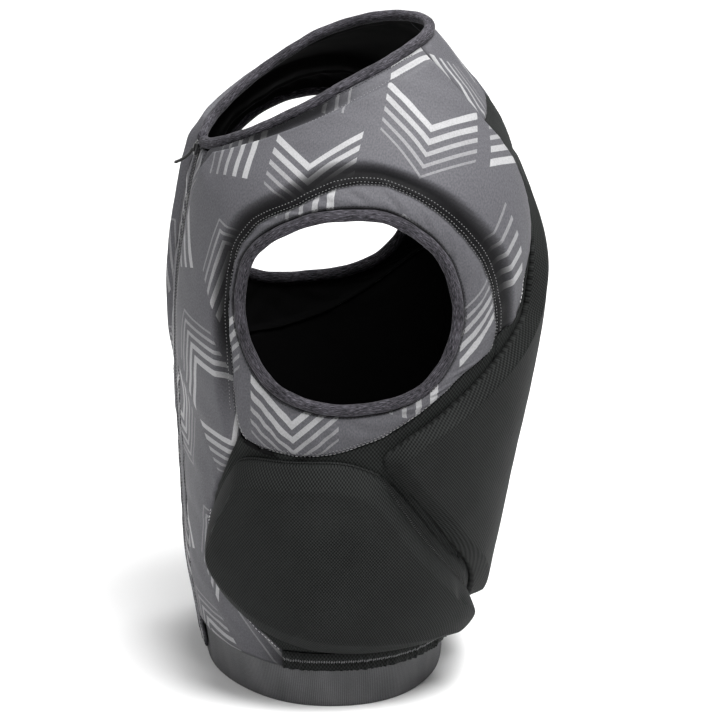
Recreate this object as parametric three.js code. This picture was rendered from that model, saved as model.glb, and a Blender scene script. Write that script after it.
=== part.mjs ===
// Rib protector: a padded karting vest, open at the neck, the armholes and the waist.
// Millimetres, +Z up. The wearer faces -Y, and the wearer's left is +X.
// The origin is on the centre plane, at the level where the vest rests on the shoulders.

import * as THREE from 'three';

// Driving sizes
const BODY_HEIGHT = 493;       // waist edge to the back of the neck
const SHOULDER_LEVEL = 440;    // waist edge to where the vest rests on the shoulders
const CHEST_HALF_WIDTH = 164;
const CHEST_DEPTH = 269;       // breast to shoulder blades
const SPINE_HOLLOW = 10;       // how far the back lies in along the spine
const SPINE_TURN = 24;         // half the width of that hollow, in degrees round the form
const SHELL_WALL = 3;          // knitted fabric over a thin foam
const BAND_WALL = 2.5;
const BAND_INSET = 0.8;        // how far the waist band lies inside the shell's inner face
const BINDING_DIAMETER = 9;
const CHEST_PAD_RAISE = 6;     // how far the sewn-in chest and shoulder pad lifts the print
const RIB_PAD_THICKNESS = 17;
const BACK_PAD_THICKNESS = 11;
const PAD_BEVEL = 17;          // width of the slope round a pad's flat face
const ARMHOLE_BAND_RAISE = 2;
const PLACKET_WIDTH = 17;
const TAPE_WIDTH = 4.5;
const TAPE_THICKNESS = 1.2;
const TAPE_LIFT = 0.5;
const TEETH_WIDTH = 4.6;
const TEETH_THICKNESS = 2.2;
const SLIDER_LENGTH = 11;
const SLIDER_WIDTH = 8;
const SLIDER_THICKNESS = 2.4;
const PULL_LENGTH = 20;
const PULL_DIAMETER = 2.4;
const HEM_RAISE = 1;
const GATHER_COUNT = 30;
const GATHER_RAISE = 1.6;
const SEAM_GAP = 0.7;          // between panels that meet edge to edge
const BINDING_GAP = 0.55;      // between a binding and the fabric beside it
const CLEARANCE = 0.3;         // between pieces that lie on each other
const RIB_PAD_CLEARANCE = 1.9; // under a pad, whose long facets dip towards the shell
const BACK_PAD_CLEARANCE = 2.8;
const YOKE_HEIGHT = 11.5;      // of the printed strip behind the neck, in percent up the form
const SLIDER_DROP = 8.6;         // how far the zip's slider is below the neck, in the same percent

// Shares, chosen by hand
const PAD_RIM = { edge: 0.3, middle: 0.74, face: 0.95 };    // height of a pad's rim, at its edge and up its slope
const MOST_DRAWN_IN = 0.6;                                  // of the way from a pad's outline to its spine
const CHEST_PAD = { start: 0.4, full: 0.5, rear: 0.14, fade: 0.78, front: 0.97 };
const CHEST_EASE = 1.15;                                    // how the rows of the front panel fan out upwards
const SIDE_SPLIT = { below: 0.45, above: 0.49, top: 0.97 }; // parts of the side's rear seam
const SPINE_REACH = { start: 8, full: 22, fade: 76, end: 90 };
const RUFFLE_TAPER = 0.6;
const SLIDER_WAIST = 0.6;
const PULL = { fall: 0.72, slack: 0.2, stand: 0.55 };

// Steps along the pieces, and the turns and rises that a direction on the form is taken over
const STEPS = {
  frontRear: 15, backSeam: 3, sideBack: 14, neck: 9, yoke: 8, waist: 44, strip: 16, binding: 42, backPad: 21, ribPad: 34,
};
const BINDING_SIDES = 7;
const TURN_STEP = 0.5;
const RISE_STEP = 0.1;

// Levels up the form, in percent
const BAND_TOP = 8;
const HEM_BOTTOM = 6;
const HEM_TOP = 8.9;
const PLACKET_BOTTOM = 2.5;
const FRONT_BOTTOM = 7.2;
const NECK = 100;
const YOKE_BOTTOM = NECK - YOKE_HEIGHT;
const SLIDER_LEVEL = NECK - SLIDER_DROP;

// The form of the upper body, a row for each level. rise is a percentage of the neck's level, and
// front, side and back are of the height; width is of the half width, toFront and toBack of the depth.
// corner is the power of the oval: 2 is an ellipse, and more is squarer.
const FORM = [
  { rise: 0, front: 0, side: 0, back: 0, width: 81, toFront: 36.5, toBack: 29.5, corner: 2.05 },
  { rise: 7, front: 7, side: 7, back: 7, width: 80.5, toFront: 38.5, toBack: 31.5, corner: 2.1 },
  { rise: 15, front: 14.5, side: 14.5, back: 14.5, width: 86, toFront: 41, toBack: 38, corner: 2.2 },
  { rise: 23, front: 22, side: 22, back: 22, width: 90, toFront: 42, toBack: 41.5, corner: 2.25 },
  { rise: 36, front: 34.5, side: 34.5, back: 34.5, width: 94, toFront: 43, toBack: 46, corner: 2.3 },
  { rise: 50.5, front: 48.5, side: 48.5, back: 48.5, width: 97.5, toFront: 44, toBack: 51.5, corner: 2.3 },
  { rise: 63, front: 60.5, side: 60.5, back: 60.5, width: 99.5, toFront: 43.5, toBack: 55, corner: 2.3 },
  { rise: 73.5, front: 69.5, side: 71, back: 71.5, width: 100, toFront: 41.5, toBack: 55.5, corner: 2.3 },
  { rise: 83, front: 76, side: 79, back: 81.5, width: 97.5, toFront: 39.5, toBack: 49.5, corner: 2.2 },
  { rise: 90.5, front: 79.5, side: 85, back: 90, width: 82, toFront: 38, toBack: 38.5, corner: 2.1 },
  { rise: 96, front: 81.5, side: 90, back: 96.5, width: 57.5, toFront: 37, toBack: 30, corner: 1.95 },
  { rise: 100, front: 82.5, side: 93, back: 99.5, width: 43.5, toFront: 36.5, toBack: 26, corner: 1.88 },
];

// Seams of the left half on the form: turn in degrees from the centre front, rise in percent.
const FRONT_REAR_SEAM = [
  { turn: 65, rise: HEM_TOP }, { turn: 56, rise: 11.5 }, { turn: 47, rise: 14.5 }, { turn: 36, rise: 18 },
  { turn: 29, rise: 22.5 }, { turn: 30, rise: 28 }, { turn: 34, rise: 33.5 }, { turn: 40, rise: 39 },
  { turn: 46.5, rise: 45 },
];
const ARMHOLE = [
  { turn: 44, rise: 67.5 }, { turn: 45, rise: 74 }, { turn: 52, rise: 79.5 }, { turn: 66, rise: 83.5 },
  { turn: 81, rise: 84.5 }, { turn: 94, rise: 83 }, { turn: 104, rise: 78 }, { turn: 110, rise: 71.5 },
  { turn: 113, rise: 65.5 }, { turn: 111, rise: 59.5 }, { turn: 105, rise: 55 }, { turn: 96, rise: 52.5 },
  { turn: 83, rise: 51.5 }, { turn: 69, rise: 52.5 }, { turn: 57, rise: 55.5 }, { turn: 48, rise: 61 },
];
const ARMHOLE_BAND_EDGE = [
  { turn: 39.5, rise: 67 }, { turn: 40.5, rise: 75.5 }, { turn: 48, rise: 82.5 }, { turn: 64, rise: 86.5 },
  { turn: 82, rise: 89 }, { turn: 98, rise: 88 }, { turn: 110, rise: 83 }, { turn: 119, rise: 76 },
  { turn: 127, rise: 68 }, { turn: 131, rise: 60.5 }, { turn: 118, rise: 56.5 }, { turn: 104, rise: 50.5 },
  { turn: 85, rise: 44.5 }, { turn: 64, rise: 43.5 }, { turn: 47, rise: 46 }, { turn: 43.5, rise: 56 },
];
const BACK_SEAM = [
  { turn: 145, rise: 63.5 }, { turn: 146, rise: 67 }, { turn: 150, rise: 73 }, { turn: 157, rise: 79 },
  { turn: 159, rise: 84.5 }, { turn: 158, rise: YOKE_BOTTOM },
];
const SIDE_BACK_SEAM = [
  { turn: 134, rise: HEM_TOP }, { turn: 132, rise: 28 }, { turn: 131, rise: 48 }, { turn: 131.5, rise: 60 },
];
const YOKE_NECK_TURN = 148;
const YOKE_TRIM = 0.7;         // in degrees, beside the front panels
const NECK_OPENING = 3;        // in degrees, from the zip to the neck binding's end

// Outlines of the pads. The back pad's is its left half, from the bottom to the top.
const RIB_PAD = [
  { turn: 38, rise: 33.5 }, { turn: 44, rise: 38.5 }, { turn: 49, rise: 41.3 }, { turn: 68, rise: 42.4 },
  { turn: 86, rise: 42.4 }, { turn: 93, rise: 40.2 }, { turn: 102, rise: 34 }, { turn: 111, rise: 28.7 },
  { turn: 128, rise: 21.5 }, { turn: 143, rise: 16 }, { turn: 149.5, rise: 12.3 }, { turn: 144, rise: 9.8 },
  { turn: 128, rise: 9.4 }, { turn: 108, rise: 9.5 }, { turn: 93, rise: 9.6 }, { turn: 77, rise: 10.4 },
  { turn: 57, rise: 13.2 }, { turn: 39, rise: 18.2 }, { turn: 32, rise: 22.5 }, { turn: 33, rise: 28 },
];
const RIB_PAD_SPINE = [{ turn: 60, rise: 29 }, { turn: 124, rise: 16.5 }];
const BACK_PAD = [
  { turn: 165, rise: 11 }, { turn: 157, rise: 13.8 }, { turn: 141, rise: 20.5 }, { turn: 122, rise: 28 },
  { turn: 109, rise: 34.5 }, { turn: 98, rise: 40 }, { turn: 94, rise: 43.2 }, { turn: 99, rise: 46 },
  { turn: 108, rise: 49 }, { turn: 122, rise: 54 }, { turn: 140, rise: 60 }, { turn: 147, rise: 63 },
  { turn: 149, rise: 67 }, { turn: 153, rise: 72 }, { turn: 160, rise: 76.5 }, { turn: 166, rise: 79 },
];

// Soft folds of the fabric, ridges from one place on the form to another.
const FOLDS = [
  { turn: 118, rise: 98, toTurn: 146, toRise: 91, width: 7, raise: 1.6 },
  { turn: 136, rise: 99, toTurn: 160, toRise: 92, width: 7, raise: 1.4 },
  { turn: 62, rise: 46, toTurn: 70, toRise: 50, width: 6, raise: 1.5 },
  { turn: 100, rise: 49, toTurn: 124, toRise: 60, width: 6, raise: 1.4 },
  { turn: 12, rise: 52, toTurn: 36, toRise: 45, width: 9, raise: 1.2 },
];

const rad = THREE.MathUtils.degToRad;
const smooth = (from, to, value) => THREE.MathUtils.smoothstep(value, from, to);

// A value of one column of the form at a rise, on a smooth curve through the rows.
function formValue(column, rise) {
  const rises = FORM.map((row) => row.rise * NECK / 100);
  let row = FORM.length - 2;
  while (row > 0 && rises[row] > rise) row -= 1;
  const slope = (index) => {
    const before = Math.max(index - 1, 0);
    const after = Math.min(index + 1, FORM.length - 1);
    return (FORM[after][column] - FORM[before][column]) / (rises[after] - rises[before]);
  };
  const span = rises[row + 1] - rises[row];
  const t = (rise - rises[row]) / span;
  const held = (2 * t ** 3 - 3 * t ** 2 + 1) * FORM[row][column] + (3 * t ** 2 - 2 * t ** 3) * FORM[row + 1][column];
  const bent = (t ** 3 - 2 * t ** 2 + t) * slope(row) + (t ** 3 - t ** 2) * slope(row + 1);
  return held + span * bent;
}

// The point of the form's own surface at a turn and a rise.
function formSurface(turn, rise) {
  const angle = rad(turn);
  const power = 2 / formValue('corner', rise);
  const bulge = (value) => Math.sign(value) * Math.abs(value) ** power;
  const front = -CHEST_DEPTH * formValue('toFront', rise) / 100;
  const back = CHEST_DEPTH * formValue('toBack', rise) / 100;
  const side = formValue('side', rise);
  const tilt = (formValue('back', rise) - formValue('front', rise)) / 2;
  const bow = (formValue('back', rise) + formValue('front', rise)) / 2 - side;
  const fromSpine = (180 - Math.abs(turn > 180 ? turn - 360 : turn)) / SPINE_TURN;
  const along = smooth(SPINE_REACH.start, SPINE_REACH.full, rise) * (1 - smooth(SPINE_REACH.fade, SPINE_REACH.end, rise));
  const hollow = SPINE_HOLLOW * Math.exp(-(fromSpine ** 2)) * along;
  return new THREE.Vector3(
    CHEST_HALF_WIDTH * formValue('width', rise) / 100 * bulge(Math.sin(angle)),
    (front + back) / 2 - (back - front) / 2 * bulge(Math.cos(angle)) - hollow,
    BODY_HEIGHT * (side - tilt * Math.cos(angle) + bow * Math.cos(angle) ** 2) / 100,
  );
}

// The point at a height over the form's surface, along its outward normal.
function formPoint(turn, rise, lift) {
  const point = formSurface(turn, rise);
  const across = formSurface(turn + TURN_STEP, rise).sub(formSurface(turn - TURN_STEP, rise));
  const up = formSurface(turn, rise + RISE_STEP).sub(formSurface(turn, rise - RISE_STEP));
  return point.addScaledVector(across.cross(up).normalize(), lift);
}

// The turn at which the form's front lies a given distance from the centre plane.
function turnBeside(distance, rise) {
  const share = distance / (CHEST_HALF_WIDTH * formValue('width', rise) / 100);
  return THREE.MathUtils.radToDeg(Math.asin(share ** (formValue('corner', rise) / 2)));
}

// A place moved over the form by its clearance, at right angles to its edge, towards another place.
function inset(at, before, after, towards) {
  const point = formSurface(at.x, at.y);
  const perTurn = formSurface(at.x + TURN_STEP, at.y).sub(formSurface(at.x - TURN_STEP, at.y));
  const perRise = point.clone().sub(formSurface(at.x, at.y - 1));
  const way = formSurface(after.x, after.y).sub(formSurface(before.x, before.y));
  const move = way.cross(perTurn.clone().cross(perRise)).setLength(at.z);
  if (move.dot(formSurface(towards.x, towards.y).sub(point)) < 0) move.negate();
  const [uu, uv, vv] = [perTurn.dot(perTurn), perTurn.dot(perRise), perRise.dot(perRise)];
  const [mu, mv] = [move.dot(perTurn), move.dot(perRise)];
  const share = uu * vv - uv * uv;
  return place(at.x + (mu * vv - mv * uv) / share, at.y + (mv * uu - mu * uv) / share);
}

// The places of an edge, each moved by its clearance towards the opposite edge.
function insetEdge(edge, opposite, joined) {
  const last = edge.length - 1;
  return edge.map((at, i) => {
    const before = joined ? edge.at(i - 1) : edge[Math.max(i - 1, 0)];
    const after = joined ? edge[(i + 1) % edge.length] : edge[Math.min(i + 1, last)];
    return inset(at, before, after, opposite[i]);
  });
}

// How high the soft folds stand at a place.
function foldLift(place) {
  const at = formSurface(place.x, place.y);
  return FOLDS.reduce((lift, fold) => {
    const ridge = new THREE.Line3(formSurface(fold.turn, fold.rise), formSurface(fold.toTurn, fold.toRise));
    const away = ridge.closestPointToPoint(at, true, new THREE.Vector3()).distanceTo(at);
    return lift + fold.raise * Math.exp(-((away / fold.width) ** 2));
  }, 0);
}

// A place on the form: a turn, a rise and the clearance that a panel keeps there.
function place(turn, rise, trim = SEAM_GAP / 2) {
  return new THREE.Vector3(turn, rise, trim);
}

// A smooth curve of turn and rise through the rows of a seam.
function seam(rows, closed = false) {
  return new THREE.CatmullRomCurve3(rows.map(({ turn, rise }) => place(turn, rise, 0)), closed, 'centripetal');
}

// Evenly counted places along a part of a curve, from one share of it to another.
function stretch(curve, from, to, count, trim = SEAM_GAP / 2) {
  return Array.from({ length: count + 1 }, (_, i) => curve.getPoint(from + (to - from) * i / count).setZ(trim));
}

// Places at a fixed distance from the centre plane, from one rise to another.
function beside(distance, low, high, count) {
  return Array.from({ length: count + 1 }, (_, i) => {
    const rise = low + (high - low) * i / count;
    return place(distance < 0 ? -turnBeside(-distance, rise) : turnBeside(distance, rise), rise);
  });
}

// Places round the form at one rise.
function level(from, to, rise, count, trim) {
  return Array.from({ length: count + 1 }, (_, i) => place(from + (to - from) * i / count, rise, trim));
}

// One closed body from a list of vertices and triangles, turned to face out.
function body(points, triangles) {
  let volume = 0;
  for (const [a, b, c] of triangles) {
    volume += points[a].dot(points[b].clone().cross(points[c]));
  }
  const facing = volume > 0 ? triangles : triangles.map(([a, b, c]) => [a, c, b]);
  const geometry = new THREE.BufferGeometry();
  geometry.setAttribute('position', new THREE.Float32BufferAttribute(points.flatMap((p) => p.toArray()), 3));
  geometry.setIndex(facing.flat());
  geometry.computeVertexNormals();
  return geometry;
}

// A loft through closed rings of equal count, joined last to first or with its ends closed by ladders.
function loft(rings, joined = false) {
  const count = rings[0].length;
  const triangles = [];
  const pairs = joined ? rings.length : rings.length - 1;
  for (let i = 0; i < pairs; i += 1) {
    const here = i * count;
    const next = ((i + 1) % rings.length) * count;
    for (let j = 0; j < count; j += 1) {
      const k = (j + 1) % count;
      triangles.push([here + j, next + j, next + k], [here + j, next + k, here + k]);
    }
  }
  const last = (rings.length - 1) * count;
  for (let j = 0; !joined && j < count / 2 - 1; j += 1) {
    const [a, b, c, d] = [j, j + 1, count - 2 - j, count - 1 - j];
    triangles.push([a, b, c], [a, c, d], [last + a, last + c, last + b], [last + a, last + d, last + c]);
  }
  return body(rings.flat(), triangles);
}

// A piece of fabric between two edges that hold the same number of places.
// columns is how many steps it has across, or a list of their distances in from both edges.
// lifts gives its under and upper height at a share of the way along and across.
function panel({ near, far, columns, lifts = () => [0, SHELL_WALL], side = 1, joined = false, folded = false }) {
  const stops = insetEdge(far, near, joined);
  const rings = insetEdge(near, far, joined).map((start, i) => {
    const along = i / (near.length - (joined ? 0 : 1));
    const cells = Array.from({ length: columns + 1 }, (_, j) => {
      const across = j / columns;
      const at = start.clone().lerp(stops[i], across);
      const [under, upper] = lifts(along, across);
      return { at, under, upper: upper + (folded ? foldLift(at) : 0) };
    });
    const skin = (layer) => cells.map((cell) => formPoint(side * cell.at.x, cell.at.y, cell[layer]));
    return [...skin('under'), ...skin('upper').reverse()];
  });
  return loft(rings, joined);
}

// A pad at the ribs: rings of its outline drawn in towards its spine, the base first.
function ribPad(side) {
  const edge = stretch(seam(RIB_PAD, true), 0, 1, STEPS.ribPad).slice(0, -1);
  const spine = new THREE.Line3(...RIB_PAD_SPINE.map(({ turn, rise }) => place(turn, rise, 0)));
  const base = SHELL_WALL + RIB_PAD_CLEARANCE;
  const ring = (inwards, share, height) => edge.map((at) => {
    const hub = spine.closestPointToPoint(at.clone().setZ(0), true, new THREE.Vector3());
    const reach = formSurface(at.x, at.y).distanceTo(formSurface(hub.x, hub.y));
    const inner = at.clone().lerp(hub, share + (1 - share) * Math.min(inwards / reach, MOST_DRAWN_IN));
    return formPoint(side * inner.x, inner.y, base + RIB_PAD_THICKNESS * height);
  });
  return loft([
    ring(0, 0.9, 0), ring(0, 0.6, 0), ring(0, 0.3, 0), ring(0, 0, 0),
    ring(0, 0, PAD_RIM.edge), ring(PAD_BEVEL / 2, 0, PAD_RIM.middle), ring(PAD_BEVEL, 0, PAD_RIM.face),
    ring(PAD_BEVEL, 0.4, 1), ring(PAD_BEVEL, 0.85, 1),
  ]);
}

// The back pad, from edge to edge across the centre, with the same slope round its flat face.
function backPad() {
  const rows = stretch(seam(BACK_PAD), 0, 1, STEPS.backPad);
  const base = SHELL_WALL + BACK_PAD_CLEARANCE;
  const slope = (inset) => Math.min(1, PAD_RIM.edge + (1 - PAD_RIM.edge) * inset / PAD_BEVEL);
  const rings = rows.map((edge, i) => {
    const fromEnd = Math.min(i, rows.length - 1 - i) * PAD_BEVEL * 0.7;
    const mirrored = edge.clone().setX(360 - edge.x);
    const width = (180 - edge.x) * 2 * rad(1) * CHEST_HALF_WIDTH;
    const insets = [0, PAD_BEVEL / 2, PAD_BEVEL].map((inset) => Math.min(inset / width, 0.4));
    const middle = Array.from({ length: 9 }, (_, j) => insets[2] + (1 - 2 * insets[2]) * (j + 1) / 10);
    const shares = [...insets, ...middle, ...insets.map((share) => 1 - share).reverse()];
    const skin = (height) => shares.map((share) => {
      const at = edge.clone().lerp(mirrored, share);
      return formPoint(at.x, at.y, base + BACK_PAD_THICKNESS * height(share * width));
    });
    const upper = skin((in_) => slope(Math.min(in_, width - in_, fromEnd)));
    return [...skin(() => 0), ...upper.reverse()];
  });
  return loft(rings);
}

// A rolled binding along the edge of an opening, with a round section.
function binding(places, side, joined) {
  const count = places.length;
  const rings = places.map((at, i) => {
    const before = places[joined ? (i + count - 1) % count : Math.max(i - 1, 0)];
    const after = places[joined ? (i + 1) % count : Math.min(i + 1, count - 1)];
    const centre = formPoint(side * at.x, at.y, SHELL_WALL / 2);
    const along = formSurface(side * after.x, after.y).sub(formSurface(side * before.x, before.y));
    const normal = formPoint(side * at.x, at.y, 1).sub(formSurface(side * at.x, at.y));
    const across = along.clone().cross(normal).normalize();
    const out = across.clone().cross(along).normalize();
    return Array.from({ length: BINDING_SIDES }, (_, j) => {
      const angle = rad(360 * (j + 0.5) / BINDING_SIDES);
      return centre.clone()
        .addScaledVector(across, BINDING_DIAMETER / 2 * Math.cos(angle))
        .addScaledVector(out, BINDING_DIAMETER / 2 * Math.sin(angle));
    });
  });
  return loft(rings, joined);
}

const vest = new THREE.Group();
const PRINT = { color: 0x5f5f62, roughness: 0.6 };
const BLACK_MESH = { color: 0x1b1d1c, roughness: 0.8 };
const ELASTIC = { color: 0x414143, roughness: 0.85 };
const HEATHER = { color: 0x4a484d, roughness: 0.9 };
const ZIP = { color: 0x151515, roughness: 0.5 };

function add(name, geometry, finish) {
  const mesh = new THREE.Mesh(geometry, new THREE.MeshStandardMaterial({ ...finish, metalness: 0 }));
  mesh.name = name;
  geometry.translate(0, 0, -SHOULDER_LEVEL);
  vest.add(mesh);
}

const bindingTrim = BINDING_DIAMETER / 2 + BINDING_GAP;
const tapeEdge = TEETH_WIDTH / 2;
const placketEdge = tapeEdge + TAPE_WIDTH;
const frontEdge = placketEdge + PLACKET_WIDTH;
const placketTop = belowNeck(10).y;
const neckStart = turnBeside(frontEdge, NECK);
// The place just clear of the neck binding at a turn.
function belowNeck(turn) {
  return inset(place(turn, NECK, bindingTrim), place(turn - 1, NECK), place(turn + 1, NECK), place(turn, BAND_TOP));
}

const mirror = (places) => places.map((at) => at.clone().setX(360 - at.x));

// Pieces that share a seam share its places, so that their edges run alike.
const armholeSteps = 2 * ARMHOLE.length;
const armhole = stretch(seam(ARMHOLE, true), 0, 1, armholeSteps, bindingTrim).slice(0, -1);
const bandEdge = stretch(seam(ARMHOLE_BAND_EDGE, true), 0, 1, armholeSteps).slice(0, -1);
const bandCorner = 18;
const bandFront = 28;
const bandShoulder = 4;
const frontRear = stretch(seam(FRONT_REAR_SEAM), 0, 1, STEPS.frontRear);
const backSeam = stretch(seam(BACK_SEAM), 0, 1, STEPS.backSeam);
const sideBack = seam(SIDE_BACK_SEAM);

// Printed panel: up the chest, over the shoulder and down behind the armhole.
function frontPanel(side) {
  const tail = place(FRONT_REAR_SEAM[0].turn, HEM_BOTTOM);
  const near = [tail, ...frontRear, ...bandEdge.slice(bandFront + 1), ...bandEdge.slice(0, bandCorner + 1)];
  const start = near[0].y;
  const chest = near.slice(0, near.length - bandCorner + bandShoulder);
  const end = chest.at(-1).y;
  const far = [
    ...chest.map(({ y }) => {
      const rise = FRONT_BOTTOM + (placketTop - FRONT_BOTTOM) * ((y - start) / (end - start)) ** CHEST_EASE;
      return place(turnBeside(frontEdge, rise), rise);
    }),
    ...level(neckStart, YOKE_NECK_TURN, NECK, STEPS.neck, bindingTrim).with(STEPS.neck, belowNeck(YOKE_NECK_TURN)),
    ...[...backSeam].reverse(),
  ];
  return panel({
    near,
    far,
    columns: 6,
    side,
    folded: true,
    lifts: (along, across) => {
      const ends = smooth(CHEST_PAD.start, CHEST_PAD.full, along);
      const raised = ends * smooth(0, CHEST_PAD.rear, across) * (1 - smooth(CHEST_PAD.fade, CHEST_PAD.front, across));
      return [0, SHELL_WALL + CHEST_PAD_RAISE * raised];
    },
  });
}

// Band round the armhole, wide under the arm and narrow in front.
function armholeBand(side) {
  return panel({
    near: armhole,
    far: bandEdge,
    columns: 3,
    side,
    joined: true,
    folded: true,
    lifts: (along, across) => [0, SHELL_WALL + ARMHOLE_BAND_RAISE * Math.sin(Math.PI * across)],
  });
}

// Stretch panel at the ribs, between the front panel, the armhole band, the back and the hem.
function sidePanel(side) {
  const near = [...frontRear, ...bandEdge.slice(bandCorner + 1, bandFront).reverse()];
  const far = [...stretch(sideBack, 0, SIDE_SPLIT.below, frontRear.length - 1),
    ...stretch(sideBack, SIDE_SPLIT.above, SIDE_SPLIT.top, near.length - frontRear.length - 1)];
  return panel({ near, far, columns: 8, side });
}

// Back panel between the side panels, the shoulders and the yoke.
function backPanel() {
  const edge = [...stretch(sideBack, 0, 1, STEPS.sideBack), ...backSeam];
  return panel({ near: edge, far: mirror(edge), columns: 12 });
}

// Printed strip behind the neck.
function backYoke() {
  const across = (turn, rise, trim) => level(turn, 360 - turn, rise, STEPS.yoke, trim);
  return panel({
    near: across(BACK_SEAM.at(-1).turn + YOKE_TRIM, YOKE_BOTTOM),
    far: across(YOKE_NECK_TURN + YOKE_TRIM, NECK, bindingTrim),
    columns: 1,
    folded: true,
  });
}

// Elastic waist band, whose upper edge is behind the hem.
function waistBand() {
  return panel({
    near: level(0, 360, 0, STEPS.waist).slice(0, -1),
    far: level(0, 360, BAND_TOP, STEPS.waist).slice(0, -1),
    columns: 2,
    joined: true,
    lifts: () => [-BAND_INSET - BAND_WALL, -BAND_INSET],
  });
}

// Gathered hem from one front panel round the back to the other.
function gatheredHem() {
  const steps = GATHER_COUNT * 2;
  const ruffle = (along) => (Math.round(along * steps) % 2) * GATHER_RAISE;
  return panel({
    near: level(FRONT_REAR_SEAM[0].turn, 360 - FRONT_REAR_SEAM[0].turn, HEM_BOTTOM, steps),
    far: level(FRONT_REAR_SEAM[0].turn, 360 - FRONT_REAR_SEAM[0].turn, HEM_TOP, steps),
    columns: 2,
    lifts: (along, across) => [0, SHELL_WALL + HEM_RAISE + ruffle(along) * (1 - across * RUFFLE_TAPER)],
  });
}

// A strip down the front between two distances from the centre plane.
function frontStrip(from, to, low, high, under, thickness, side = 1) {
  return panel({
    near: beside(from, low, high, STEPS.strip),
    far: beside(to, low, high, STEPS.strip),
    columns: 1,
    side,
    lifts: () => [under, under + thickness],
  });
}

// Zip slider, a rounded plate on the teeth, and the cord that pulls it.
function sliderFrame() {
  const at = formPoint(0, SLIDER_LEVEL, (SHELL_WALL + TEETH_THICKNESS) / 2 + CLEARANCE);
  const up = formSurface(0, SLIDER_LEVEL + 1).sub(formSurface(0, SLIDER_LEVEL - 1)).normalize();
  const across = new THREE.Vector3(1, 0, 0);
  const out = across.clone().cross(up);
  return new THREE.Matrix4().makeBasis(across, up, out).setPosition(at);
}

function zipSlider() {
  const half = SLIDER_WIDTH / 2;
  const outline = new THREE.Shape();
  outline.moveTo(-half * SLIDER_WAIST, 0);
  outline.lineTo(half * SLIDER_WAIST, 0);
  outline.lineTo(half, SLIDER_LENGTH - half);
  outline.absarc(0, SLIDER_LENGTH - half, half, 0, Math.PI);
  const plate = new THREE.ExtrudeGeometry(outline, { depth: SLIDER_THICKNESS, bevelEnabled: false, curveSegments: 6 });
  return plate.applyMatrix4(sliderFrame());
}

function zipPull() {
  const start = SLIDER_THICKNESS + CLEARANCE + PULL_DIAMETER / 2;
  const fall = PULL_LENGTH * PULL.fall;
  const path = new THREE.QuadraticBezierCurve3(
    new THREE.Vector3(0, SLIDER_LENGTH / 2, start),
    new THREE.Vector3(0, -fall * PULL.slack, start + TAPE_THICKNESS),
    new THREE.Vector3(0, SLIDER_LENGTH / 2 - fall, start + PULL_LENGTH * PULL.stand),
  );
  const round = new THREE.Shape().absarc(0, 0, PULL_DIAMETER / 2, 0, 2 * Math.PI);
  const cord = new THREE.ExtrudeGeometry(round, { extrudePath: path, steps: 6, curveSegments: 4 });
  return cord.applyMatrix4(sliderFrame());
}

for (const [side, hand] of [[1, 'left'], [-1, 'right']]) {
  add(`front_panel_${hand}`, frontPanel(side), PRINT);
  add(`armhole_band_${hand}`, armholeBand(side), PRINT);
  add(`armhole_binding_${hand}`, binding(armhole, side, true), HEATHER);
  add(`side_panel_${hand}`, sidePanel(side), BLACK_MESH);
  add(`rib_pad_${hand}`, ribPad(side), BLACK_MESH);
  add(`zip_placket_${hand}`,
    frontStrip(placketEdge, frontEdge, PLACKET_BOTTOM, placketTop, 0, SHELL_WALL, side), PRINT);
  add(`zip_tape_${hand}`,
    frontStrip(tapeEdge, placketEdge, PLACKET_BOTTOM, placketTop, TAPE_LIFT, TAPE_THICKNESS, side), ZIP);
}
add('back_yoke', backYoke(), PRINT);
add('back_panel', backPanel(), BLACK_MESH);
add('back_pad', backPad(), BLACK_MESH);
add('neck_binding', binding(level(NECK_OPENING, 360 - NECK_OPENING, NECK, STEPS.binding), 1, false), HEATHER);
add('waist_band', waistBand(), ELASTIC);
add('gathered_hem', gatheredHem(), BLACK_MESH);
add('zip_teeth', frontStrip(-TEETH_WIDTH / 2, TEETH_WIDTH / 2, PLACKET_BOTTOM, placketTop,
  (SHELL_WALL - TEETH_THICKNESS) / 2, TEETH_THICKNESS), ZIP);
add('zip_slider', zipSlider(), ZIP);
add('zip_pull', zipPull(), ZIP);

export default vest;
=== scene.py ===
"""Looks of a rib protector: its cloth, pads, bindings, zip, stitches, light and camera.

Metres, +Z up. The wearer faces -Y, and the wearer's left is +X. The origin is on the
centre plane, at the level where the vest rests on the shoulders.
"""

import logging
import math
from dataclasses import dataclass, field
from enum import Enum
from typing import Callable, Sequence

import bmesh
import bpy
import numpy as np
from mathutils import Matrix, Vector, noise

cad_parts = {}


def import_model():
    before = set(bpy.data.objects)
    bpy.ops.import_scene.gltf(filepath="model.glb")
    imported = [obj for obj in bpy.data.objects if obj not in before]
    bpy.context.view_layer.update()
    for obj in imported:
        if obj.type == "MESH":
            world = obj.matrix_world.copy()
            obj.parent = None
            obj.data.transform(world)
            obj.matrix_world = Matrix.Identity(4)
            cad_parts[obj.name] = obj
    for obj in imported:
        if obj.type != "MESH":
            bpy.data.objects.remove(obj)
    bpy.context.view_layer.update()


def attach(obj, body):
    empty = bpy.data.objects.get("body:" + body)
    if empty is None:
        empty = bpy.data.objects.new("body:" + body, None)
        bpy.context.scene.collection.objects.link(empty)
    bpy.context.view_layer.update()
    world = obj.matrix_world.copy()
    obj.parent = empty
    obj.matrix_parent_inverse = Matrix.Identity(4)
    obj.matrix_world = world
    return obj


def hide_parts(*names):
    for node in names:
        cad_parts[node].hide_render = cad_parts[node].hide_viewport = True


LOG = logging.getLogger("rib_protector")
MM = 0.001
HANDS = ((1, "left"), (-1, "right"))
Relief = Callable[[np.ndarray, np.ndarray, np.ndarray, np.ndarray], np.ndarray]

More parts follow.
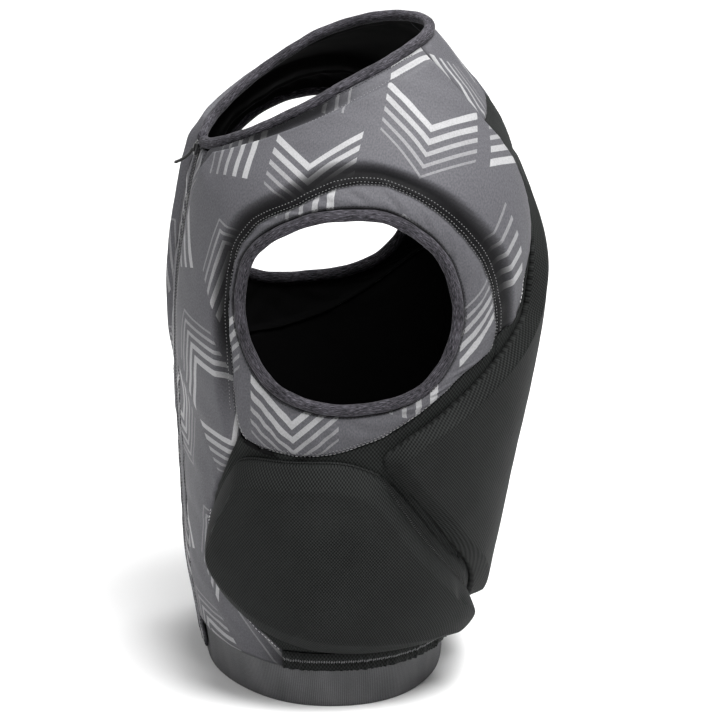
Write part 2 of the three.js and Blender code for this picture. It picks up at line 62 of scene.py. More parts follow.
# The form of the upper body, a row for each level. rise, front, side and back are percentages
# up the form and of the height, width is of the half width, to_front and to_back are of the depth.
FORM_COLUMNS = ("rise", "front", "side", "back", "width", "to_front", "to_back", "corner")
FORM_ROWS = (
    (0, 0, 0, 0, 81, 36.5, 29.5, 2.05),
    (7, 7, 7, 7, 80.5, 38.5, 31.5, 2.1),
    (15, 14.5, 14.5, 14.5, 86, 41, 38, 2.2),
    (23, 22, 22, 22, 90, 42, 41.5, 2.25),
    (36, 34.5, 34.5, 34.5, 94, 43, 46, 2.3),
    (50.5, 48.5, 48.5, 48.5, 97.5, 44, 51.5, 2.3),
    (63, 60.5, 60.5, 60.5, 99.5, 43.5, 55, 2.3),
    (73.5, 69.5, 71, 71.5, 100, 41.5, 55.5, 2.3),
    (83, 76, 79, 81.5, 97.5, 39.5, 49.5, 2.2),
    (90.5, 79.5, 85, 90, 82, 38, 38.5, 2.1),
    (96, 81.5, 90, 96.5, 57.5, 37, 30, 1.95),
    (100, 82.5, 93, 99.5, 43.5, 36.5, 26, 1.88),
)
FORM_TABLE = {name: np.array([row[i] for row in FORM_ROWS], float) for i, name in enumerate(FORM_COLUMNS)}

# The pads in metres: how high their backs lie over the form, their thickness and their rim's width.
PAD_BASE = 0.0031
RIB_PAD_HEIGHT = 0.0187
BACK_PAD_HEIGHT = 0.0135
PAD_RIM = 0.017

# Levels up the form, in percent.
BAND_TOP = 8.0
HEM_BOTTOM = 6.0
HEM_TOP = 8.9
PLACKET_BOTTOM = 2.5
FRONT_BOTTOM = 7.2
YOKE_BOTTOM = 88.5
NECK = 100.0
SLIDER_LEVEL = 91.4
YOKE_NECK_TURN = 148.0

# Seams of the left half on the form: turn in degrees from the centre front, rise in percent.
FRONT_REAR_SEAM = (
    (65, HEM_TOP), (56, 11.5), (47, 14.5), (36, 18), (29, 22.5), (30, 28), (34, 33.5), (40, 39), (46.5, 45),
)
ARMHOLE = (
    (44, 67.5), (45, 74), (52, 79.5), (66, 83.5), (81, 84.5), (94, 83), (104, 78), (110, 71.5),
    (113, 65.5), (111, 59.5), (105, 55), (96, 52.5), (83, 51.5), (69, 52.5), (57, 55.5), (48, 61),
)
ARMHOLE_BAND_EDGE = (
    (39.5, 67), (40.5, 75.5), (48, 82.5), (64, 86.5), (82, 89), (98, 88), (110, 83), (119, 76),
    (127, 68), (131, 60.5), (118, 56.5), (104, 50.5), (85, 44.5), (64, 43.5), (47, 46), (43.5, 56),
)
BACK_SEAM = ((145, 63.5), (146, 67), (150, 73), (157, 79), (159, 84.5), (158, YOKE_BOTTOM))
SIDE_BACK_SEAM = ((134, HEM_TOP), (132, 28), (131, 48), (131, 60.5))
RIB_PAD = (
    (38, 33.5), (44, 38.5), (49, 41.3), (68, 42.4), (86, 42.4), (93, 40.2), (102, 34), (111, 28.7),
    (128, 21.5), (143, 16), (149.5, 12.3), (144, 9.8), (128, 9.4), (108, 9.5), (93, 9.6), (77, 10.4),
    (57, 13.2), (39, 18.2), (32, 22.5), (33, 28),
)
RIB_PAD_SPINE = ((60, 29), (124, 16.5))
BACK_PAD = (
    (165, 11), (157, 13.8), (141, 20.5), (122, 28), (109, 34.5), (98, 40), (94, 43.2), (99, 46),
    (108, 49), (122, 54), (140, 60), (147, 63), (149, 67), (153, 72), (160, 76.5), (166, 79),
)

# Soft folds of the cloth: from turn, rise to turn, rise, then width and height in millimetres.
FOLDS = (
    (118, 98, 146, 91, 7, 1.6), (136, 99, 160, 92, 7, 1.4), (62, 46, 70, 50, 6, 1.5),
    (100, 49, 124, 60, 6, 1.4), (12, 52, 36, 45, 9, 1.2),
)
CREASES = (
    (104, 97, 128, 93.5, 4, 0.9), (124, 96, 150, 89, 5, 1.0), (88, 96.5, 104, 94, 4, 0.7),
    (70, 95, 84, 93.5, 4, 0.6), (20, 95, 34, 90, 6, -0.9), (14, 92, 26, 86, 6, 0.8),
    (54, 45.5, 60, 49, 4, 0.8), (76, 45.5, 80, 50, 5, 0.9), (90, 47, 96, 51.5, 5, -0.8),
    (112, 55, 127, 63, 5, -0.9), (118, 64, 124, 72, 5, 0.7), (8, 40, 26, 36, 8, 0.8),
    (6, 30, 24, 27, 8, -0.8), (10, 20, 34, 15, 7, 0.9), (8, 62, 30, 60, 10, 0.6),
    (45, 10, 30, 14, 5, 0.8), (22, 9, 40, 12, 5, -0.7), (60, 41, 75, 46, 6, 0.9),
    (92, 45, 112, 50, 6, -1.0), (110, 42, 128, 47, 7, 0.9), (122, 30, 132, 40, 7, 0.8),
)

# Uneven swell of the cloth, and the pucker beside its seams: width and height in metres, then an
# offset. The pucker's reach from a seam is in metres.
SWELLS = ((0.034, 0.0008), (0.013, 0.0003))
PUCKER = (0.009, 0.0011, 7)
PUCKER_REACH = 0.010

# The lamps: name, azimuth and elevation in degrees, distance and size in metres, power in watts.
LAMPS = (
    ("key", 124, 66, 2.2, 1.4, 105),
    ("front", 8, 34, 2.6, 0.9, 16),
    ("back", 250, 50, 2.4, 1.2, 36),
)


@dataclass(frozen=True)
class Form:
    """The body that the vest is filled out by."""

    height: float = 0.493
    shoulder_level: float = 0.440
    half_width: float = 0.164
    depth: float = 0.269
    spine_hollow: float = 0.010
    spine_turn: float = 24.0

    def value(self, column: str, rise: np.ndarray) -> np.ndarray:
        """A column's value at each rise, on a smooth curve through the rows.

        Args:
            column: The column's name.
            rise: Rises in percent.

        Returns:
            The values, in the column's own unit.
        """
        rows, table = FORM_TABLE["rise"], FORM_TABLE[column]
        before = np.maximum(np.arange(len(rows)) - 1, 0)
        after = np.minimum(np.arange(len(rows)) + 1, len(rows) - 1)
        slope = (table[after] - table[before]) / (rows[after] - rows[before])
        low = np.clip(np.searchsorted(rows, rise, side="right") - 1, 0, len(rows) - 2)
        span = rows[low + 1] - rows[low]
        t = (rise - rows[low]) / span
        held = (2 * t**3 - 3 * t**2 + 1) * table[low] + (3 * t**2 - 2 * t**3) * table[low + 1]
        return held + span * ((t**3 - 2 * t**2 + t) * slope[low] + (t**3 - t**2) * slope[low + 1])

    def surface(self, places: np.ndarray) -> np.ndarray:
        """The form's own surface.

        Args:
            places: Turns and rises, in the last axis.

        Returns:
            Points in metres, in the last axis.
        """
        turn, rise = places[..., 0], places[..., 1]
        angle = np.radians(turn)
        power = 2 / self.value("corner", rise)
        sine, cosine = np.sin(angle), np.cos(angle)
        front = -self.depth * self.value("to_front", rise) / 100
        back = self.depth * self.value("to_back", rise) / 100
        side = self.value("side", rise)
        tilt = (self.value("back", rise) - self.value("front", rise)) / 2
        bow = (self.value("back", rise) + self.value("front", rise)) / 2 - side
        from_spine = (180 - np.abs(np.where(turn > 180, turn - 360, turn))) / self.spine_turn
        hollow = self.spine_hollow * np.exp(-(from_spine**2)) * smooth(8, 22, rise) * (1 - smooth(76, 90, rise))
        x = self.half_width * self.value("width", rise) / 100 * np.sign(sine) * np.abs(sine) ** power
        y = (front + back) / 2 - (back - front) / 2 * np.sign(cosine) * np.abs(cosine) ** power - hollow
        z = self.height * (side - tilt * cosine + bow * cosine**2) / 100 - self.shoulder_level
        return np.stack([x, y, z], axis=-1)

    def normal(self, places: np.ndarray) -> np.ndarray:
        """The outward normal at each place.

        Args:
            places: Turns and rises, in the last axis.

        Returns:
            Unit vectors.
        """
        across = self.surface(places + (0.5, 0)) - self.surface(places - (0.5, 0))
        up = self.surface(places + (0, 0.1)) - self.surface(places - (0, 0.1))
        return unit(np.cross(across, up))

    def point(self, places: np.ndarray, lift: np.ndarray | float) -> np.ndarray:
        """The point at a height over each place.

        Args:
            places: Turns and rises, in the last axis.
            lift: Heights over the surface, in metres.

        Returns:
            Points in metres.
        """
        return self.surface(places) + self.normal(places) * np.asarray(lift)[..., None]

    def turn_beside(self, distance: float, rise: np.ndarray) -> np.ndarray:
        """The turn at which the front lies at a distance from the centre plane.

        Args:
            distance: Metres from the centre plane.
            rise: Rises in percent.

        Returns:
            Turns in degrees.
        """
        share = abs(distance) / (self.half_width * self.value("width", rise) / 100)
        return math.copysign(1, distance) * np.degrees(np.arcsin(share ** (self.value("corner", rise) / 2)))

    def inset(self, edge: np.ndarray, opposite: np.ndarray, trim: np.ndarray | float,
              joined: bool) -> np.ndarray:
        """An edge moved over the form, at right angles to itself, towards the opposite edge.

        Args:
            edge: The edge's places.
            opposite: As many places of the other edge.
            trim: How far to move, in metres.
            joined: Whether the edge closes on itself.

        Returns:
            The moved places.
        """
        before = np.roll(edge, 1, axis=0) if joined else np.vstack([edge[:1], edge[:-1]])
        after = np.roll(edge, -1, axis=0) if joined else np.vstack([edge[1:], edge[-1:]])
        point = self.surface(edge)
        per_turn = self.surface(edge + (0.5, 0)) - self.surface(edge - (0.5, 0))
        per_rise = point - self.surface(edge - (0, 1))
        way = self.surface(after) - self.surface(before)
        move = unit(np.cross(way, np.cross(per_turn, per_rise)))
        move *= np.where((move * (self.surface(opposite) - point)).sum(1) < 0, -1, 1)[:, None]
        move *= np.broadcast_to(trim, len(edge))[:, None]
        uu, uv, vv = (per_turn**2).sum(1), (per_turn * per_rise).sum(1), (per_rise**2).sum(1)
        mu, mv = (move * per_turn).sum(1), (move * per_rise).sum(1)
        share = uu * vv - uv * uv
        return edge + np.stack([(mu * vv - mv * uv) / share, (mv * uu - mu * uv) / share], axis=1)

    def arc(self, turn: np.ndarray) -> np.ndarray:
        """The way round the chest from the centre front to each turn.

        Args:
            turn: Turns in degrees.

        Returns:
            Lengths in metres.
        """
        turns = np.linspace(-200, 380, 1161)
        chest = self.surface(np.stack([turns, np.full_like(turns, 45.0)], axis=1))
        return np.interp(turn, turns, way_along(chest))


def smooth(low: float, high: float, value: np.ndarray) -> np.ndarray:
    """A soft step from 0 at low to 1 at high."""
    t = np.clip((np.asarray(value, float) - low) / (high - low), 0, 1)
    return t * t * (3 - 2 * t)


def unit(vectors: np.ndarray) -> np.ndarray:
    """The vectors at length 1."""
    return vectors / np.maximum(np.linalg.norm(vectors, axis=-1, keepdims=True), 1e-12)


def way_along(line: np.ndarray) -> np.ndarray:
    """The way along a line of points, from 0 at its first."""
    return np.concatenate([[0], np.cumsum(np.linalg.norm(np.diff(line, axis=0), axis=1))])


def way_across(rows: np.ndarray) -> np.ndarray:
    """The way along each row of a grid of points, from 0 at its first."""
    steps = np.linalg.norm(np.diff(rows, axis=1), axis=2)
    return np.concatenate([np.zeros((len(steps), 1)), np.cumsum(steps, axis=1)], axis=1)


def put_copy(bm: bmesh.types.BMesh, shape: bpy.types.Mesh, frame: Matrix) -> None:
    """Adds a copy of a small mesh to a bmesh, in a frame."""
    count = len(bm.verts)
    bm.from_mesh(shape)
    bm.verts.ensure_lookup_table()
    bmesh.ops.transform(bm, matrix=frame, verts=bm.verts[count:])


def seam(rows: Sequence[tuple[float, float]], count: int, closed: bool = False,
         start: float = 0, stop: float = 1) -> np.ndarray:
    """Places along a smooth curve through the rows of a seam.

    Args:
        rows: Turns and rises.
        count: How many steps.
        closed: Whether the seam closes on itself.
        start: The share of the seam to begin at.
        stop: The share of the seam to end at.

    Returns:
        count + 1 places.
    """
    points = np.array(rows, float)
    last = len(points) - (0 if closed else 1)
    made = []
    for share in np.linspace(start, stop, count + 1):
        at = share * last
        i = min(int(at), last - 1)
        t = at - i
        if closed:
            p0, p1, p2, p3 = (points[(i + k) % len(points)] for k in (-1, 0, 1, 2))
        else:
            p1, p2 = points[i], points[i + 1]
            p0 = points[i - 1] if i > 0 else 2 * p1 - p2
            p3 = points[i + 2] if i + 2 < len(points) else 2 * p2 - p1
        d0, d1, d2 = (max(np.linalg.norm(b - a), 1e-6) ** 0.5 for a, b in ((p0, p1), (p1, p2), (p2, p3)))
        out = ((p1 - p0) / d0 - (p2 - p0) / (d0 + d1) + (p2 - p1) / d1) * d1
        into = ((p2 - p1) / d1 - (p3 - p1) / (d1 + d2) + (p3 - p2) / d2) * d1
        made.append(
            p1 + out * t + (3 * (p2 - p1) - 2 * out - into) * t**2
            + (2 * (p1 - p2) + out + into) * t**3)
    return np.array(made)


def flow(places: np.ndarray, steps: int, breaks: Sequence[int] = ()) -> np.ndarray:
    """A list of places with smooth steps put in, and corners kept at the breaks.

    Args:
        places: Turns and rises.
        steps: How many steps each interval gets.
        breaks: Indices of the corners.

    Returns:
        The finer list.
    """
    last = len(places) - 1
    hard = {0, last, *breaks}
    made = [places[0]]
    for i in range(last):
        a, b = places[i], places[i + 1]
        out = b - a if i in hard else (b - places[i - 1]) / 2
        into = b - a if i + 1 in hard else (places[i + 2] - a) / 2
        for k in range(1, steps + 1):
            t = k / steps
            made.append(
                (2 * t**3 - 3 * t**2 + 1) * a + (t**3 - 2 * t**2 + t) * out
                + (3 * t**2 - 2 * t**3) * b + (t**3 - t**2) * into
            )
    return np.array(made)


def mirrored(places: np.ndarray) -> np.ndarray:
    """The same places on the other half, reached by turning on round the back."""
    return np.stack([360 - places[:, 0], places[:, 1]], axis=1)


def level(start: float, stop: float, rise: float, count: int) -> np.ndarray:
    """Places round the form at one rise."""
    return np.stack([np.linspace(start, stop, count + 1), np.full(count + 1, rise)], axis=1)


def ridges(form: Form, points: np.ndarray, rows: Sequence[tuple[float, ...]]) -> np.ndarray:
    """How high soft folds stand at each point.

    Args:
        form: The form that the folds lie on.
        points: Points in metres.
        rows: Folds, as in the tables above.

    Returns:
        Heights in metres.
    """
    lift = np.zeros(points.shape[:-1])
    for turn, rise, to_turn, to_rise, width, height in rows:
        a, b = form.surface(np.array([[turn, rise], [to_turn, to_rise]], float))
        share = np.clip(((points - a) @ (b - a)) / ((b - a) @ (b - a)), 0, 1)
        away = np.linalg.norm(points - (a + share[..., None] * (b - a)), axis=-1)
        fade = np.sin(np.pi * (0.12 + 0.76 * share))
        lift += height * MM * fade * np.exp(-((away / (width * MM)) ** 2))
    return lift


def ripple(points: np.ndarray, size: float, height: float, seed: float = 0) -> np.ndarray:
    """Soft uneven swell of cloth.

    Args:
        points: Points in metres.
        size: The swell's width in metres.
        height: Its height in metres.
        seed: An offset that gives another swell.

    Returns:
        Heights in metres.
    """
    flat = points.reshape(-1, 3) / size + seed
    return height * np.array([noise.noise(Vector(p)) for p in flat]).reshape(points.shape[:-1])


class Layout(Enum):
    """How a piece's cloth is laid on it."""

    STRIP = "along and across the piece"
    WRAP = "round the chest and up"
    FLAT = "unrolled without stretch"


@dataclass
class Graph:
    """A material that is put together node by node."""

    name: str
    material: bpy.types.Material = field(init=False)
    shader: bpy.types.Node = field(init=False)

    def __post_init__(self) -> None:
        """Makes an empty material with one shader."""
        self.material = bpy.data.materials.new(self.name)
        self.material.use_nodes = True
        self.material.node_tree.nodes.clear()
        out = self.add("OutputMaterial")
        self.shader = self.add("BsdfPrincipled")
        self.link(self.shader.outputs["BSDF"], out.inputs["Surface"])

    def add(self, kind: str, **settings: object) -> bpy.types.Node:
        """Adds a node of a kind, with its settings."""
        node = self.material.node_tree.nodes.new("ShaderNode" + kind)
        for key, value in settings.items():
            setattr(node, key, value)
        return node

    def link(self, value: object, socket: bpy.types.NodeSocket) -> None:
        """Feeds a socket from another socket, or sets it to a plain value."""
        if isinstance(value, bpy.types.NodeSocket):
            self.material.node_tree.links.new(value, socket)
        else:
            socket.default_value = value

    def math(self, operation: str, *values: object) -> bpy.types.NodeSocket:
        """One arithmetic step on sockets or numbers."""
        node = self.add("Math", operation=operation)
        for socket, value in zip(node.inputs, values):
            self.link(value, socket)
        return node.outputs[0]

    def cloth(self) -> tuple[bpy.types.NodeSocket, bpy.types.NodeSocket]:
        """The two directions of the cloth, in metres."""
        split = self.add("SeparateXYZ")
        self.link(self.add("UVMap", uv_map="Cloth").outputs["UV"], split.inputs[0])
        return split.outputs["X"], split.outputs["Y"]

    def stretched(self, across: float, along: float) -> bpy.types.NodeSocket:
        """The cloth's own place, scaled by two factors."""
        mapping = self.add("Mapping")
        self.link(self.add("UVMap", uv_map="Cloth").outputs["UV"], mapping.inputs["Vector"])
        mapping.inputs["Scale"].default_value = (across, along, 1)
        return mapping.outputs["Vector"]

    def place(self) -> bpy.types.NodeSocket:
        """The place on the object, in metres."""
        return self.add("TexCoord").outputs["Object"]

    def wave(self, value: bpy.types.NodeSocket, pitch: float) -> bpy.types.NodeSocket:
        """A smooth wave from 0 to 1 along a direction of the cloth."""
        turn = self.math("SINE", self.math("MULTIPLY", value, 2 * math.pi / pitch))
        return self.math("ADD", self.math("MULTIPLY", turn, 0.5), 0.5)

    def weighed(self, *parts: tuple[bpy.types.NodeSocket, float]) -> bpy.types.NodeSocket:
        """The sum of values, each times its weight."""
        total, *rest = (self.math("MULTIPLY", value, weight) for value, weight in parts)
        for part in rest:
            total = self.math("ADD", total, part)
        return total

    def shade(self) -> bpy.types.NodeSocket:
        """Painted shade in sewn grooves, in ruffles and at rolled edges, partly the pressed cloth's own darker
        colour, from 0 to 1.
        """
        return self.add("Attribute", attribute_name="GrooveShade").outputs["Fac"]

    def noise(self, vector: bpy.types.NodeSocket, scale: float, detail: float = 2) -> bpy.types.NodeSocket:
        """Noise at a place."""
        node = self.add("TexNoise")
        self.link(vector, node.inputs["Vector"])
        node.inputs["Scale"].default_value = scale
        node.inputs["Detail"].default_value = detail
        return node.outputs["Fac"]

    def ramp(self, factor: bpy.types.NodeSocket, stops: Sequence[tuple[float, float]],
             hard: bool = False) -> bpy.types.NodeSocket:
        """A curve of grey values over a factor.

        Args:
            factor: What the curve is read at.
            stops: Places from 0 to 1 and their values.
            hard: Whether the value steps instead of sliding.

        Returns:
            The value.
        """
        node = self.add("ValToRGB")
        self.link(factor, node.inputs["Fac"])
        node.color_ramp.interpolation = "CONSTANT" if hard else "LINEAR"
        elements = node.color_ramp.elements
        while len(elements) < len(stops):
            elements.new(0.5)
        for element, (at, value) in zip(elements, stops):
            element.position = at
            element.color = (value, value, value, 1)
        return node.outputs["Color"]

    def blend(self, factor: object, first: object, second: object) -> bpy.types.NodeSocket:
        """A mix of two colours."""
        node = self.add("Mix", data_type="RGBA")
        self.link(factor, node.inputs[0])
        for value, socket in ((first, node.inputs[6]), (second, node.inputs[7])):
            self.link((*value, 1) if isinstance(value, tuple) else value, socket)
        return node.outputs[2]

    def bump(self, height: bpy.types.NodeSocket, distance: float, strength: float = 1.0,
             under: bpy.types.NodeSocket | None = None) -> bpy.types.NodeSocket:
        """A relief of a height in metres."""
        node = self.add("Bump")
        node.inputs["Strength"].default_value = strength
        node.inputs["Distance"].default_value = distance
        self.link(height, node.inputs["Height"])
        if under is not None:
            self.link(under, node.inputs["Normal"])
        return node.outputs["Normal"]

    def finish(self, color: object, roughness: object, sheen: float = 0.0, specular: float = 0.5,
               normal: bpy.types.NodeSocket | None = None, metallic: float = 0.0) -> bpy.types.Material:
        """Feeds the shader.

        Args:
            color: The base colour, a socket or three numbers.
            roughness: The roughness, a socket or a number.
            sheen: How much the cloth's fibres catch light.
            specular: The specular level.
            normal: A relief.
            metallic: How metallic it is.

        Returns:
            The finished material.
        """
        inputs = self.shader.inputs
        self.link((*color, 1) if isinstance(color, tuple) else color, inputs["Base Color"])
        self.link(roughness, inputs["Roughness"])
        inputs["Sheen Weight"].default_value = sheen
        inputs["Sheen Roughness"].default_value = 0.4
        inputs["Specular IOR Level"].default_value = specular
        inputs["Metallic"].default_value = metallic
        if normal is not None:
            self.link(normal, inputs["Normal"])
        return self.material


@dataclass(frozen=True)
class PrintedKnit:
    """Dark grey stretch cloth with a print of graded stripes: chevrons and bars by turns."""

    name: str = "printed_knit"
    cell: float = 0.080
    ground: tuple[float, float, float] = (0.082, 0.081, 0.089)
    ink: tuple[float, float, float] = (0.33, 0.33, 0.335)
    knit: float = 0.0011
    chevrons: tuple[tuple[float, float], ...] = (
        (0, 0), (0.16, 1), (0.225, 0), (0.285, 0.86), (0.34, 0), (0.40, 0.66), (0.445, 0),
        (0.505, 0.5), (0.54, 0), (0.60, 0.4), (0.625, 0))
    bars: tuple[tuple[float, float], ...] = (
        (0, 0), (0.14, 1), (0.21, 0), (0.29, 0.84), (0.345, 0), (0.43, 0.64), (0.475, 0),
        (0.56, 0.5), (0.595, 0), (0.68, 0.4), (0.705, 0))

    def ink_mask(self, g: Graph, u: bpy.types.NodeSocket, v: bpy.types.NodeSocket) -> bpy.types.NodeSocket:
        """How much ink lies at each place.

        Args:
            g: The material's graph.
            u: The cloth's direction across.
            v: The cloth's direction up.

        Returns:
            A value from 0 to 1.
        """
        x = g.math("DIVIDE", u, self.cell)
        column = g.math("FLOOR", x)
        parity = g.math("ABSOLUTE", g.math("MODULO", column, 2.0))
        y = g.math("ADD", g.math("DIVIDE", v, self.cell * 1.2), g.math("MULTIPLY", parity, 0.5))
        row = g.math("ABSOLUTE", g.math("MODULO", g.math("FLOOR", y), 2.0))
        flip = g.math("SUBTRACT", 1.0, g.math("MULTIPLY", row, 2.0))
        fx = g.math("SUBTRACT", g.math("FRACT", x), 0.5)
        fy = g.math("SUBTRACT", g.math("FRACT", y), 0.5)
        arrow = g.math("ADD", g.math("MULTIPLY", g.math("ABSOLUTE", fx), 0.75),
                       g.math("ADD", g.math("MULTIPLY", fy, flip), 0.3))
        stripes = g.math("MULTIPLY", g.ramp(arrow, self.chevrons, hard=True),
                         g.math("LESS_THAN", g.math("ABSOLUTE", fx), 0.43))
        bars = g.ramp(g.math("ADD", g.math("MULTIPLY", fx, flip), 0.5), self.bars, hard=True)
        slant = g.math("ABSOLUTE", g.math("ADD", fy, g.math("MULTIPLY", fx, 0.3)))
        bars = g.math("MULTIPLY", bars, g.math("LESS_THAN", slant, 0.32))
        place = g.math("ADD", g.math("FLOOR", y), g.math("MULTIPLY", column, 2.0))
        order = g.math("MODULO", g.math("ABSOLUTE", place), 3.0)
        kind = g.math("LESS_THAN", g.math("ABSOLUTE", g.math("SUBTRACT", order, 1.0)), 0.5)
        stripes = g.math("MULTIPLY", stripes, g.math("SUBTRACT", 1.0, kind))
        return g.math("ADD", stripes, g.math("MULTIPLY", bars, kind))

    def make(self) -> bpy.types.Material:
        """Builds the material.

        Returns:
            The material.
        """
        g = Graph(self.name)
        u, v = g.cloth()
        ink = self.ink_mask(g, u, v)
        wear = g.ramp(g.noise(g.place(), 38, 3), ((0.3, 0.88), (0.7, 1.06)))
        grain = g.noise(g.stretched(1 / self.knit, 0.6 / self.knit), 1.0, 2)
        dark = g.blend(g.ramp(grain, ((0.3, 0), (0.7, 1))), tuple(c * 0.78 for c in self.ground),
                       tuple(c * 1.22 for c in self.ground))
        light = g.blend(g.ramp(grain, ((0.25, 0), (0.6, 1))), tuple(c * 0.8 for c in self.ink), self.ink)
        color = g.blend(g.math("MULTIPLY", ink, wear), dark, light)
        # Painted shade: the print goes near black in sewn grooves, ruffles and at rolled edges, partly the
        # pressed cloth's own darker colour.
        color = g.blend(g.math("MULTIPLY", g.shade(), 0.98), color, (0.0015, 0.0015, 0.0018))
        ribs = g.math("SINE", g.math("MULTIPLY", u, 2 * math.pi / self.knit))
        stitches = g.math("SINE", g.math("MULTIPLY", v, 2 * math.pi / (self.knit * 0.8)))
        relief = g.math("ADD", g.math("MULTIPLY", ribs, stitches), g.math("MULTIPLY", ink, 0.6))
        return g.finish(color, 0.5, sheen=0.01, specular=0.09, normal=g.bump(relief, 0.00012, 0.5))


@dataclass(frozen=True)
class HeatherKnit:
    """Soft knit of mixed dark and light yarns that run along the binding."""

    name: str = "heather_knit"
    dark: tuple[float, float, float] = (0.008, 0.0077, 0.009)
    pale: tuple[float, float, float] = (0.125, 0.118, 0.138)

    def make(self) -> bpy.types.Material:
        """Builds the material.

        Returns:
            The material.
        """
        g = Graph(self.name)
        streak = g.noise(g.stretched(210, 1700), 1.0, 3)
        fine = g.noise(g.stretched(600, 3200), 1.0, 2)
        patch = g.noise(g.stretched(45, 120), 1.0, 2)
        mixed = g.weighed((streak, 0.62), (fine, 0.2), (patch, 0.18))
        color = g.blend(g.ramp(mixed, ((0.42, 0), (0.52, 0.25), (0.66, 1))), self.dark, self.pale)
        return g.finish(color, 0.85, sheen=0.05, specular=0.12, normal=g.bump(mixed, 0.0006, 0.8))


@dataclass(frozen=True)
class StretchMesh:
    """Black knitted mesh with fine holes in slanting rows."""

    name: str = "stretch_mesh"
    pitch: float = 0.0021
    dark: tuple[float, float, float] = (0.0035, 0.0037, 0.0036)
    pale: tuple[float, float, float] = (0.022, 0.024, 0.023)
    relief: float = 0.0003

    def make(self) -> bpy.types.Material:
        """Builds the material.

        Returns:
            The material.
        """
        g = Graph(self.name)
        u, v = g.cloth()
        turns = 2 * math.pi / self.pitch
        one = g.math("SINE", g.math("MULTIPLY", g.math("ADD", u, g.math("MULTIPLY", v, 0.9)), turns * 0.72))
        slant = g.math("SUBTRACT", u, g.math("MULTIPLY", v, 0.7))
        two = g.math("SINE", g.math("MULTIPLY", slant, turns * 0.78))
        threads = g.math("ADD", g.math("MULTIPLY", g.math("ADD", one, two), 0.25), 0.5)
        patch = g.noise(g.place(), 26, 3)
        fuzz = g.noise(g.stretched(1300, 1300), 1.0, 2)
        tone = g.weighed((threads, 0.55), (patch, 0.2), (fuzz, 0.25))
        color = g.blend(g.ramp(tone, ((0.3, 0), (0.72, 1))), self.dark, self.pale)
        # Painted shade: the mesh darkens towards black at its rolled-in edges.
        color = g.blend(g.math("MULTIPLY", g.shade(), 0.8), color, (0.002, 0.002, 0.002))
        return g.finish(color, 0.7, sheen=0.01, specular=0.06, normal=g.bump(threads, self.relief, 0.8))


@dataclass(frozen=True)
class RibbedElastic:
    """Charcoal elastic knit with fine upright ribs."""

    name: str = "ribbed_elastic"
    pitch: float = 0.0015
    row_pitch: float = 0.0011
    dark: tuple[float, float, float] = (0.040, 0.040, 0.042)
    pale: tuple[float, float, float] = (0.135, 0.135, 0.139)

    def make(self) -> bpy.types.Material:
        """Builds the material.

        Returns:
            The material.
        """
        g = Graph(self.name)
        u, v = g.cloth()
        ribs = g.wave(u, self.pitch)
        steps = g.wave(v, self.row_pitch)
        patch = g.noise(g.stretched(50, 22), 1.0, 3)
        fuzz = g.noise(g.stretched(1500, 900), 1.0, 2)
        tone = g.weighed((ribs, 0.25), (fuzz, 0.35), (patch, 0.4))
        color = g.blend(g.ramp(tone, ((0.25, 0), (0.75, 1))), self.dark, self.pale)
        height = g.math("ADD", ribs, g.math("MULTIPLY", steps, 0.4))
        return g.finish(color, 0.85, sheen=0.04, specular=0.15, normal=g.bump(height, 0.0002, 0.6))


@dataclass(frozen=True)
class PlainFinish:
    """Thread, plastic, painted metal, lining or floor, with a fine grain."""

    name: str
    color: tuple[float, float, float]
    roughness: float
    grain: float = 900.0
    spread: float = 0.15
    sheen: float = 0.0
    specular: float = 0.5
    metallic: float = 0.0

    def make(self) -> bpy.types.Material:
        """Builds the material.

        Returns:
            The material.
        """
        g = Graph(self.name)
        grain = g.noise(g.place(), self.grain, 3)
        color = g.blend(grain, tuple(c * (1 - self.spread) for c in self.color),
                        tuple(min(1, c * (1 + self.spread)) for c in self.color))
        rough = g.math("ADD", g.math("MULTIPLY", grain, 0.12), self.roughness - 0.06)
        return g.finish(color, rough, self.sheen, self.specular, g.bump(grain, 0.0001, 0.4), self.metallic)


class Finish(Enum):
    """The finishes of the vest."""

    PRINT = PrintedKnit()
    HEATHER = HeatherKnit()
    MESH = StretchMesh()
    PAD_MESH = StretchMesh("pad_cover", 0.0017, (0.0030, 0.0032, 0.0031), (0.022, 0.0235, 0.0228), 0.0003)
    ELASTIC = RibbedElastic()
    LINING = PlainFinish("lining", (0.0045, 0.0045, 0.0047), 0.9, 700, 0.3, 0.0, 0.06)
    TAPE = PlainFinish("zip_tape_weave", (0.012, 0.012, 0.012), 0.7, 1500, 0.3, 0.2, 0.3)
    COIL = PlainFinish("zip_coil", (0.02, 0.02, 0.021), 0.35, 500, 0.2)
    PAINTED = PlainFinish("painted_metal", (0.015, 0.015, 0.016), 0.3, 300, 0.2, 0.0, 0.6, 0.3)
    CORD = PlainFinish("pull_cord", (0.012, 0.012, 0.012), 0.75, 2200, 0.4, 0.3, 0.3)
    WHITE_THREAD = PlainFinish("white_thread", (0.62, 0.62, 0.63), 0.7, 2500, 0.15, 0.2, 0.3)
    GREY_THREAD = PlainFinish("grey_thread", (0.22, 0.22, 0.225), 0.7, 2500, 0.2, 0.1, 0.2)
    DIM_THREAD = PlainFinish("dim_thread", (0.055, 0.055, 0.056), 0.75, 2500, 0.3, 0.1, 0.2)
    BLACK_THREAD = PlainFinish("black_thread", (0.010, 0.010, 0.010), 0.75, 2500, 0.3, 0.1, 0.2)

    def dress(self) -> bpy.types.Material:
        """The finish's material, made once."""
        return bpy.data.materials.get(self.value.name) or self.value.make()


